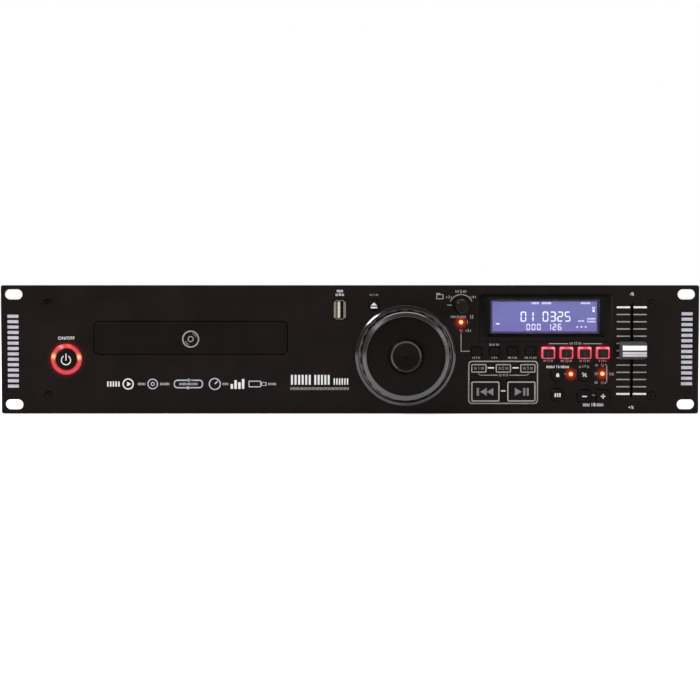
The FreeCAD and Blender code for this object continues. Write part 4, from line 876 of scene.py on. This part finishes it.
def buttonPrints():
    signs = [
        ("powerSign", "power", "inkWhite",
            [ring(0, -0.6, 3.5, 0.65, start=120, sweep=300), bar(0, 1.5, 0.65, 4.8)]),
        ("ejectSign", "eject", "inkWhite", [triangle(0, 0.55, 1.35, stretch=1.8), bar(0, -1.55, 4.5, 1.1)]),
        ("cueSign", "cue", "inkDim",
            [bar(-5.2, -0.2, 1.6, 5.4), triangle(-0.6, -0.2, 3.1, 90), triangle(4.0, -0.2, 3.1, 90)]),
        ("playSign", "play", "inkDim",
            [triangle(-2.9, -0.2, 3.2, -90), bar(2.0, -0.2, 1.4, 5.4), bar(4.4, -0.2, 1.4, 5.4)]),
        ("lockSign", "tempo_lock", "inkWhite",
            [bar(0, -0.5, 2.1, 1.8, corner=0.4), ring(0, 0.4, 0.85, 0.38, start=0, sweep=180, sides=36)]),
        ("rangeSign", "pitch_range", "inkWhite",
            [bar(0, 0, 3.2, 0.55, turn=45)] + [ring(-side, side * 0.9, 0.65, 0.3, sides=24) for side in (1, -1)]),
        ("tapSign", "tap", "inkWhite", [bar(side * 1.6, 0, 0.9, 2.6) for side in (-1, 0, 1)]),
        ("bendDownSign", "bend_down", "inkWhite", [bar(0, 0, 3.4, 0.75)]),
        ("bendUpSign", "bend_up", "inkWhite", [bar(0, 0, 3.2, 0.75), bar(0, 0, 0.75, 3.2)]),
    ]
    for name, text in (("loop_in", "1"), ("loop_out", "2"), ("reloop", "3")):
        signs.append((name + "Frame", name, "inkGrey", [box(0, 0, 10.6, 5.9, 0.8, 0.75)]))
        signs.append((name + "Sign", name, "inkDim", label(text, 0, 0, 7.0, 2.3)))
    for name in ("cue", "play"):
        signs.append((name + "Frame", name, "inkGrey", [box(0, 0, 19.6, 14.0, 1.2, 0.9)]))
    for piece, name, ink, marks in signs:
        printOn(piece, marks, ink, name + "_button", about=name + "_button")

    look = padInsert
    for step, button in enumerate(effectButtons):
        text = str(step + 1)
        insert = bar(0, -look["drop"], look["width"], look["height"], corner=look["corner"])
        pad = printOn("effectPad" + text, [insert], "padBlack", button, about=button, depth=look["thick"])
        bevelEdges(pad, look["edge"], 2)
        printOn("effectNumber" + text, [number(text, 0, -look["drop"], look["figure"])], "padInk", button,
            about=button, back=inkLook["sink"] - look["thick"])


buttonPrints()
print("button prints made")


# what is printed on the panel

def fadeScale():
    # thirteen ticks on each side of the fader slot, the end ones brighter
    look = {"pitch": 5.0, "middle": -0.8, "sides": (189.0, 200.5), "width": 9.2, "thin": 0.8, "thick": 1.3}
    thin = []
    thick = []
    for x in look["sides"]:
        for step in range(-6, 7):
            marks, tall = (thick, look["thick"]) if abs(step) == 6 else (thin, look["thin"])
            marks.append(bar(x, look["middle"] + step * look["pitch"], look["width"], tall))
    printOn("faderTicks", thin, "inkGrey")
    signs = [number("-%", 194.7, 38.3, 2.2, 0.02), number("+%", 194.7, -40.3, 2.2, 0.02)]
    printOn("faderEnds", thick + signs, "inkWhite")


def deckPrint():
    # the frame round the loop and start buttons, with the lines that join them
    marks = [box(106.0, -22.8, 48.4, 30.0, 2.6, 0.85)] + label("4", 106.3, -17.7, 6.5, 2.2)
    marks += stroke([(89.0, -16.8), (90.4, -17.8), (102.2, -17.8)], 0.6)
    marks += stroke([(110.4, -17.8), (122.4, -17.8), (123.8, -16.8)], 0.6)
    printOn("deckFrame", marks, "inkGrey")
    dashes = [bar(97.5, -12.7, 4.4, 0.9), bar(114.5, -12.7, 4.4, 0.9), bar(106.05, -28.7, 3.2, 0.9)]
    printOn("deckDashes", dashes, "inkWhite")


def sourcePrint():
    # the arc over the knob, and the marks beside it and its two lamps
    x, z, face = spot("track_knob")
    marks = [ring(x, z, 8.5, 0.55, start=25, sweep=130), box(x - 14.7, z + 6.7, 5.0, 3.4, 0.4, 0.55)]
    marks += labels(
        ("2", x - 0.2, z + 10.3, 8.0, 2.1), ("3", x - 8.4, z + 6.4, 4.2, 1.9), ("4", x + 8.3, z + 6.4, 4.2, 1.9),
        ("5", 74.8, 22.6, 10.8, 1.9), ("1", 81.2, 18.9, 2.4, 1.9), ("2", 81.8, 13.0, 4.2, 1.9))
    for across, up, wide, tall in ((x - 8.0, z + 0.9, 3.2, 0.6), (x - 15.8, z + 8.9, 2.6, 0.8), (83.4, 22.6, 0.55, 2.6),
            (84.8, 22.6, 0.55, 2.6), (76.8, 5.0, 0.5, 12.0), (79.8, -1.25, 6.4, 0.5)):
        marks.append(bar(across, up, wide, tall))
    printOn("sourceMarks", marks, "inkGrey")


def rowLabels():
    x, z, face = spot("eject_button")
    first = spot(effectButtons[0])[0]
    last = spot(effectButtons[3])[0]
    middle = (first + last) / 2
    marks = labels(
        ("6", 99.7, 3.3, 7.0, 1.9), ("1", x, z + 7.1, 6.2, 1.7), ("15", middle, 4.2, 8.4, 1.9),
        ("7", "source_button", -5.7, 5.6, 1.7), ("8", "time_button", -5.7, 4.4, 1.7),
        ("9", "single_button", -5.7, 6.4, 1.7), ("10", "program_button", -5.7, 8.4, 1.7),
        ("11", "effect_button_1", -7.9, 6.6, 1.7), ("12", "effect_button_2", -7.9, 8.0, 1.7),
        ("13", "effect_button_3", -7.9, 7.4, 1.7), ("14", "effect_button_4", -7.9, 5.6, 1.7),
        ("17", 161.9, -12.1, 7.2, 2.0), ("10", 170.4, -11.0, 3.2, 1.7), ("20", 170.4, -16.8, 3.2, 1.7),
        ("50", 170.4, -22.9, 3.6, 1.7))
    reach = middle - first - 5.7      # each half of the line over the effect buttons
    marks += [bar(middle + side * (5.2 + reach / 2), 4.0, reach, 0.55) for side in (-1, 1)]
    marks += stroke([(176.6, -10.2), (177.7, -11.2), (177.7, -22.5), (176.6, -23.5)], 0.6)
    marks += [bar(148.4, -17.0, 2.8, 0.55), bar(168.6, -31.7, 2.4, 0.55), number("0%", 181.2, -17.1, 2.0, 0.02)]
    printOn("rowLabels", marks, "inkGrey")
    x, z, face = spot("data_socket")
    bright = labels(("16", 143.7, -12.1, 15.8, 2.1), ("18", 168.4, -38.4, 14.4, 2.5), ("0", x, z + 10.3, 6.2, 1.9))
    bright += ticks(x - 2.3, x + 2.3, z + 12.9, 1.7)
    x, z, face = spot("power_button")
    bright.append(number("ON/OFF", x, z + 14.4, 2.3, 0.015))
    printOn("brightLabels", bright, "inkWhite")


def signRow():
    # six plain signs in a row: play, disc, repeat, dial, levels and memory stick
    row = -23.9
    bright = ticks(-168.6, -159.0, row, 3.6, 1.9, 1.0)
    bright += [ring(-153.6, row, 3.9, 0.85, sides=48), triangle(-153.4, row, 1.9, -90)]
    for step, tall in enumerate((3.4, 6.0, 4.6, 6.8)):
        bright.append(bar(-81.8 + step * 2.6, row + tall / 2 - 3.4, 1.7, tall))
    printOn("signsBright", bright, "inkWhite")

    marks = [
        ring(-136.6, row, 3.7, 0.75, sides=48), ring(-136.6, row, 1.4, 0.55, sides=24),
        box(-111.9, row, 20.3, 6.0, 2.4, 0.85), triangle(-111.2, row + 2.6, 1.55, -90),
        triangle(-112.6, row - 2.6, 1.55, 90), ring(-93.6, row, 4.2, 0.8, sides=48),
        box(-65.9, row, 8.8, 4.6, 0.6, 0.7), box(-59.6, row, 3.6, 3.0, 0.2, 0.6)]
    marks += stroke([(-93.4, row + 0.2), (-91.9, row + 1.7)], 0.9)
    marks += rulers(row, 1.7, (-147.0, -141.6), (-131.6, -125.0))
    marks += rulers(row, 1.6, (-118.4, -105.4), (-88.4, -84.2), (-56.8, -51.0))
    printOn("signsSilver", marks, "inkSilver")


def nameBars():
    # plain strokes where the front carries its lettering, and down both ears
    marks = ticks(-41.4, -26.6, -21.0, 6.8, 2.45, 1.35) + ticks(-25.2, -13.6, -21.0, 6.8, 2.3, 1.3)
    printOn("nameStrokes", marks + ticks(-11.8, -0.8, -22.2, 4.4, 1.8, 0.95), "inkWhite")
    printOn("nameRuler", ticks(-41.5, -0.6, -27.1, 1.9, 0.93, 0.46), "inkGrey")
    look = {"count": 14, "pitch": 3.72, "thick": 2.15, "width": 7.6, "across": 233.0, "middles": (-1.2, 0.5)}
    ears = []
    for side, middle in zip((-1, 1), look["middles"]):
        for step in range(look["count"]):
            up = middle + (step - (look["count"] - 1) / 2) * look["pitch"]
            ears.append(bar(side * look["across"], up, look["width"], look["thick"], corner=0.25, steps=2))
    printOn("earStrokes", ears, "inkSilver")


def doorSign():
    marks = [ring(0, -0.9, 5.9, 0.9), ring(0, -0.9, 2.1, 0.6, sides=36)]
    marks += [ring(0, -0.9, 4.2, 0.4, start=start, sweep=50) for start in (20, 200)]
    printOn("doorSign", marks, "inkGrey", "tray", about="tray_door")


for draw in (fadeScale, deckPrint, sourcePrint, rowLabels, signRow, nameBars, doorSign):
    draw()
print("panel prints made")


# screws with a cross recess, in place of the plain ones

screwLook = {
    "headRadius": 3.0, "headHeight": 1.6, "edge": 0.45, "crossLength": 3.2, "crossWidth": 0.75, "crossDepth": 1.0,
    "crossTaper": 0.55, "shankRadius": 1.45, "shankLength": 5.0, "shankSink": 0.1, "panelX": 208.7, "panelZ": 32.0,
    "panelSink": 1.8, "sideY": (30.0, 205.0), "sideZ": -33.0, "rearInset": 20.0, "rearDrop": 6.0,
}


def oneScrew():
    # the head lies behind the origin's plane, with its recess towards the front
    look = screwLook
    taper = look["crossTaper"]
    head = cylinder(0, look["headHeight"] / 2, 0, look["headRadius"], look["headHeight"], 36)
    roundFront(head, look["edge"], 4)
    for turn in (0, 90):
        deselect()
        bpy.ops.mesh.primitive_cube_add(size=1, location=(0, 0, 0), rotation=(0, math.radians(turn), 0))
        arm = bpy.context.object
        arm.scale = (look["crossLength"] * mm, look["crossDepth"] * 2 * mm, look["crossWidth"] * mm)
        settle(arm)
        editMesh(arm, "faces", lambda face: face.normal.y > 0.5)
        bpy.ops.transform.resize(value=(taper, 1, taper), center_override=(0, look["crossDepth"] * mm, 0))
        leaveEdit()
        applyModifier(head, "BOOLEAN", operation="DIFFERENCE", solver="EXACT", object=arm)
        bpy.data.objects.remove(arm)
    middle = look["headHeight"] + look["shankLength"] / 2 - look["shankSink"]
    return joinAll([head, cylinder(0, middle, 0, look["shankRadius"], look["shankLength"], 20)])


def allScrews():
    look = screwLook
    model = oneScrew()
    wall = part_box("top_cover")[1] / mm
    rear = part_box("case_screws")[1].y / mm
    seats = []       # x, y, z, the turn of the screw and the turn of its cross
    for side in (-1, 1):
        for row in (-1, 1):
            seats.append((side * look["panelX"], panelFace + look["panelSink"] - look["headHeight"],
                row * look["panelZ"], 0, row * 20))
        for y in look["sideY"]:
            seats.append((side * (wall.x + look["headHeight"]), y, look["sideZ"], side * 90, y / 4))
        seats.append((side * (wall.x - look["rearInset"]), rear, wall.z - look["rearDrop"], 180, side * 25))
    screws = []
    for x, y, z, turn, spin in seats:
        twin = copyTo(model, x, y, z)
        twin.rotation_euler = (0, math.radians(spin), math.radians(turn))
        screws.append(settle(twin))
    bpy.data.objects.remove(model)
    dress(joinAll(screws), "crossScrews", "screwBlack", "root", "case_screws", 40)


allScrews()
print("screws made")


# jog wheel: the cup it turns in, with a crowned bezel given by radius and rise

bezelLook = {
    "bore": 3.05, "boss": 5.5, "bossBack": 9.0, "bossFront": 1.5, "floorBack": 6.0, "floorFront": 4.5,
    "cup": 32.5, "cupOut": 33.3, "radius": 35.0, "sides": 144,
    "crown": [(35.0, 0.5), (34.93, 0.72), (34.7, 0.98), (34.3, 1.32), (33.8, 1.7), (33.35, 2.0), (33.05, 2.14),
        (32.8, 2.19), (32.6, 2.08), (32.5, 1.8)],
}


def jogBezel():
    look = bezelLook
    x, z, face = spot("jog_housing")
    points = [(look["bore"], look["bossBack"]), (look["boss"], look["bossBack"]), (look["boss"], look["floorBack"]),
        (look["cupOut"], look["floorBack"]), (look["cupOut"], panelFace), (look["radius"], panelFace)]
    points += [(radius, panelFace - rise) for radius, rise in look["crown"]]
    points += [(look["cup"], look["floorFront"]), (look["boss"], look["floorFront"]),
        (look["boss"], look["bossFront"]), (look["bore"], look["bossFront"])]
    dress(lathe(points, x, z, look["sides"]), "jogBezel", "bezelBlack", "root", "jog_housing", 40)


jogBezel()
print("jog bezel made")


# fader cap: white bands on its face, given by place up and height

def faderBands():
    look = {"inset": 0.9, "thick": 0.12, "upper": [(2.1, 3.2)], "lower": [(-1.4, 1.7), (-3.1, 1.2)]}
    low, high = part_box("fader_cap")
    width = (high.x - low.x) / mm - look["inset"]
    for name, rows, finishName in (("faderBandUpper", look["upper"], "faderWhite"),
            ("faderBandLower", look["lower"], "faderLight")):
        bands = [bar(0, up, width, tall, corner=0.2, steps=2) for up, tall in rows]
        printOn(name, bands, finishName, "fader", about="fader_cap", depth=look["thick"])


# data socket: its lining and floor in near-black as painted shade in its deep mouth, the pale tongue and four contacts

def socketTongue():
    look = {"shift": -0.8, "width": 1.5, "height": 11.3, "front": 1.4, "depth": 7.5, "throat": 0.5, "side": 0.485,
        "contactPitch": 2.5, "contactBack": 5.0, "contactDepth": 4.6}
    contacts = [bar(look["side"], (step - 1.5) * look["contactPitch"], 0.12, 1.1) for step in range(4)]
    tongue = bar(look["shift"], 0, look["width"], look["height"], corner=0.2, steps=2)
    throat = look["throat"] + look["depth"]
    # the lining and the floor behind it are near-black: painted shade in the socket's mouth
    for name, marks, finishName, back, depth in (
            ("socketShadeLining", [box(0, 0, 4.86, 12.26, 0.1, 0.14)], "lensBlack", throat, look["depth"]),
            ("socketShadeFloor", [bar(0, 0, 4.6, 12.0)], "lensBlack", throat, 0.4),
            ("socketTongue", [tongue], "tongueWhite", look["front"] + look["depth"], look["depth"]),
            ("socketContacts", contacts, "bushBrass", look["front"] + look["contactBack"], look["contactDepth"])):
        printOn(name, marks, finishName, about="data_socket", back=back, depth=depth)


# rear: a coloured ring in the mouth of each phono socket, and plain numbers beside them

phonoLook = {"x": 6.0, "z": -22.0, "pitch": 19.0, "radius": 3.1, "bore": 1.8, "thick": 0.5, "edge": 0.15,
    "proud": 0.05}


def phonoRings():
    look = phonoLook
    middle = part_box("phono_sockets")[1].y / mm + look["proud"] - look["thick"] / 2
    for step, finishName in enumerate(("ringWhite", "ringRed", "inletBlack")):
        insert = cylinder(look["x"] + step * look["pitch"], middle, look["z"], look["radius"], look["thick"], 40)
        editMesh(insert, "faces", lambda face: abs(face.normal.y) > 0.5)
        bpy.ops.mesh.inset(thickness=(look["radius"] - look["bore"]) * mm, depth=0)
        bpy.ops.mesh.bridge_edge_loops()
        leaveEdit()
        tidyMesh(insert)
        bevelEdges(insert, look["edge"], 2, 50)
        dress(insert, "phonoRing" + str(step + 1), finishName, "root", smooth=35)


def rearPrint():
    # a plain number over each socket, a frame round them, and a wave over the mains inlet; x counts backwards
    look = phonoLook
    marks = [box(-look["x"] - look["pitch"], look["z"] + 1.0, 3 * look["pitch"], 22.0, 1.5, 0.4)]
    for step in range(3):
        marks.append(number(str(step + 1), -look["x"] - step * look["pitch"], look["z"] + 8.2, 3.4))
    x, z, face = spot("mains_inlet")
    marks += stroke([(-x - 3.0, z + 16.5), (-x - 1.5, z + 17.6), (-x + 1.5, z + 15.6), (-x + 3.0, z + 16.7)], 0.6)
    printOn("rearMarks", marks, "inkGrey", rear=True)


faderBands()
socketTongue()
phonoRings()
rearPrint()
print("small pieces made")


# stage, light and camera

cameraLook = {"distance": 1200.0, "height": 52.0, "frameWidth": 483.8, "aimZ": -0.35}
# place, aim, width and height, power
softboxes = {
    "keyBox": ((-1.27, -0.56, 1.40), (0, 0, 0), (0.75, 0.5), 34.0),
    "fillBox": ((1.3, -1.5, 0.5), (0, 0, 0), (1.5, 1.3), 14.0),
    "topBox": ((0.0, 0.35, 1.5), (0, 0.1, 0), (1.7, 0.7), 12.0),
}


def aimed(obj, place, aim):
    bpy.context.collection.objects.link(obj)
    obj.location = place
    obj.rotation_mode = "QUATERNION"
    obj.rotation_quaternion = (Vector(aim) - Vector(place)).to_track_quat("-Z", "Y")


def emptyTree(owner):
    owner.use_nodes = True
    owner.node_tree.nodes.clear()
    return owner.node_tree, node(owner.node_tree, "LightPath").outputs


def mixShaders(tree, mask, first, second):
    return node(tree, "MixShader", {0: mask, 1: first, 2: second}).outputs[0]


def makeStage():
    deselect()
    bpy.ops.mesh.primitive_plane_add(size=12, location=(0, 0, cadLow.z - 0.0002))
    floor = bpy.context.object
    floor.name = "floorPlane"
    finish = bpy.data.materials.new("floorPale")
    tree, path = emptyTree(finish)
    seen = mathNode(tree, "MAXIMUM", path["Is Camera Ray"],
        mathNode(tree, "MAXIMUM", path["Is Glossy Ray"], path["Is Transmission Ray"]))
    dull = node(tree, "BsdfDiffuse", {"Color": (0.80, 0.80, 0.80)}).outputs[0]
    glow = node(tree, "Emission", {"Color": (1, 1, 1), "Strength": 0.42}).outputs[0]
    both = node(tree, "AddShader", {0: dull, 1: glow}).outputs[0]
    node(tree, "OutputMaterial", {"Surface": mixShaders(tree, seen, dull, both)})
    floor.data.materials.append(finish)


def makeWorld():
    # white where it is seen, darker in front of the object so that its gloss keeps its depth
    scene.world = bpy.data.worlds.new("studioWorld")
    tree, path = emptyTree(scene.world)
    seen = mathNode(tree, "MAXIMUM", path["Is Camera Ray"], path["Is Transmission Ray"])
    depth = node(tree, "SeparateXYZ", {0: node(tree, "TexCoord").outputs["Generated"]}).outputs["Y"]
    behind = rise(tree, depth, -0.15, 0.35, 0.10, 0.90)
    glossy, soft, white = [
        node(tree, "Background", {"Color": (1, 1, 1), "Strength": strength}).outputs[0]
        for strength in (behind, 0.62, 1.0)]
    around = mixShaders(tree, path["Is Glossy Ray"], soft, glossy)
    node(tree, "OutputWorld", {"Surface": mixShaders(tree, seen, around, white)})


def makeCamera():
    look = cameraLook
    data = bpy.data.cameras.new("frontCamera")
    data.sensor_width = 36.0
    data.lens = data.sensor_width * look["distance"] / look["frameWidth"]
    data.clip_start = 0.05
    data.clip_end = 50.0
    scene.camera = bpy.data.objects.new("frontCamera", data)
    aimed(scene.camera, (0, (panelFace - look["distance"]) * mm, look["height"] * mm),
        (0, panelFace * mm, look["aimZ"] * mm))


makeStage()
makeWorld()
for name, (place, aim, size, power) in softboxes.items():
    data = bpy.data.lights.new(name, "AREA")
    data.shape = "RECTANGLE"
    data.size, data.size_y = size
    data.energy = power
    aimed(bpy.data.objects.new(name, data), place, aim)
makeCamera()
print("stage, lights and camera made")
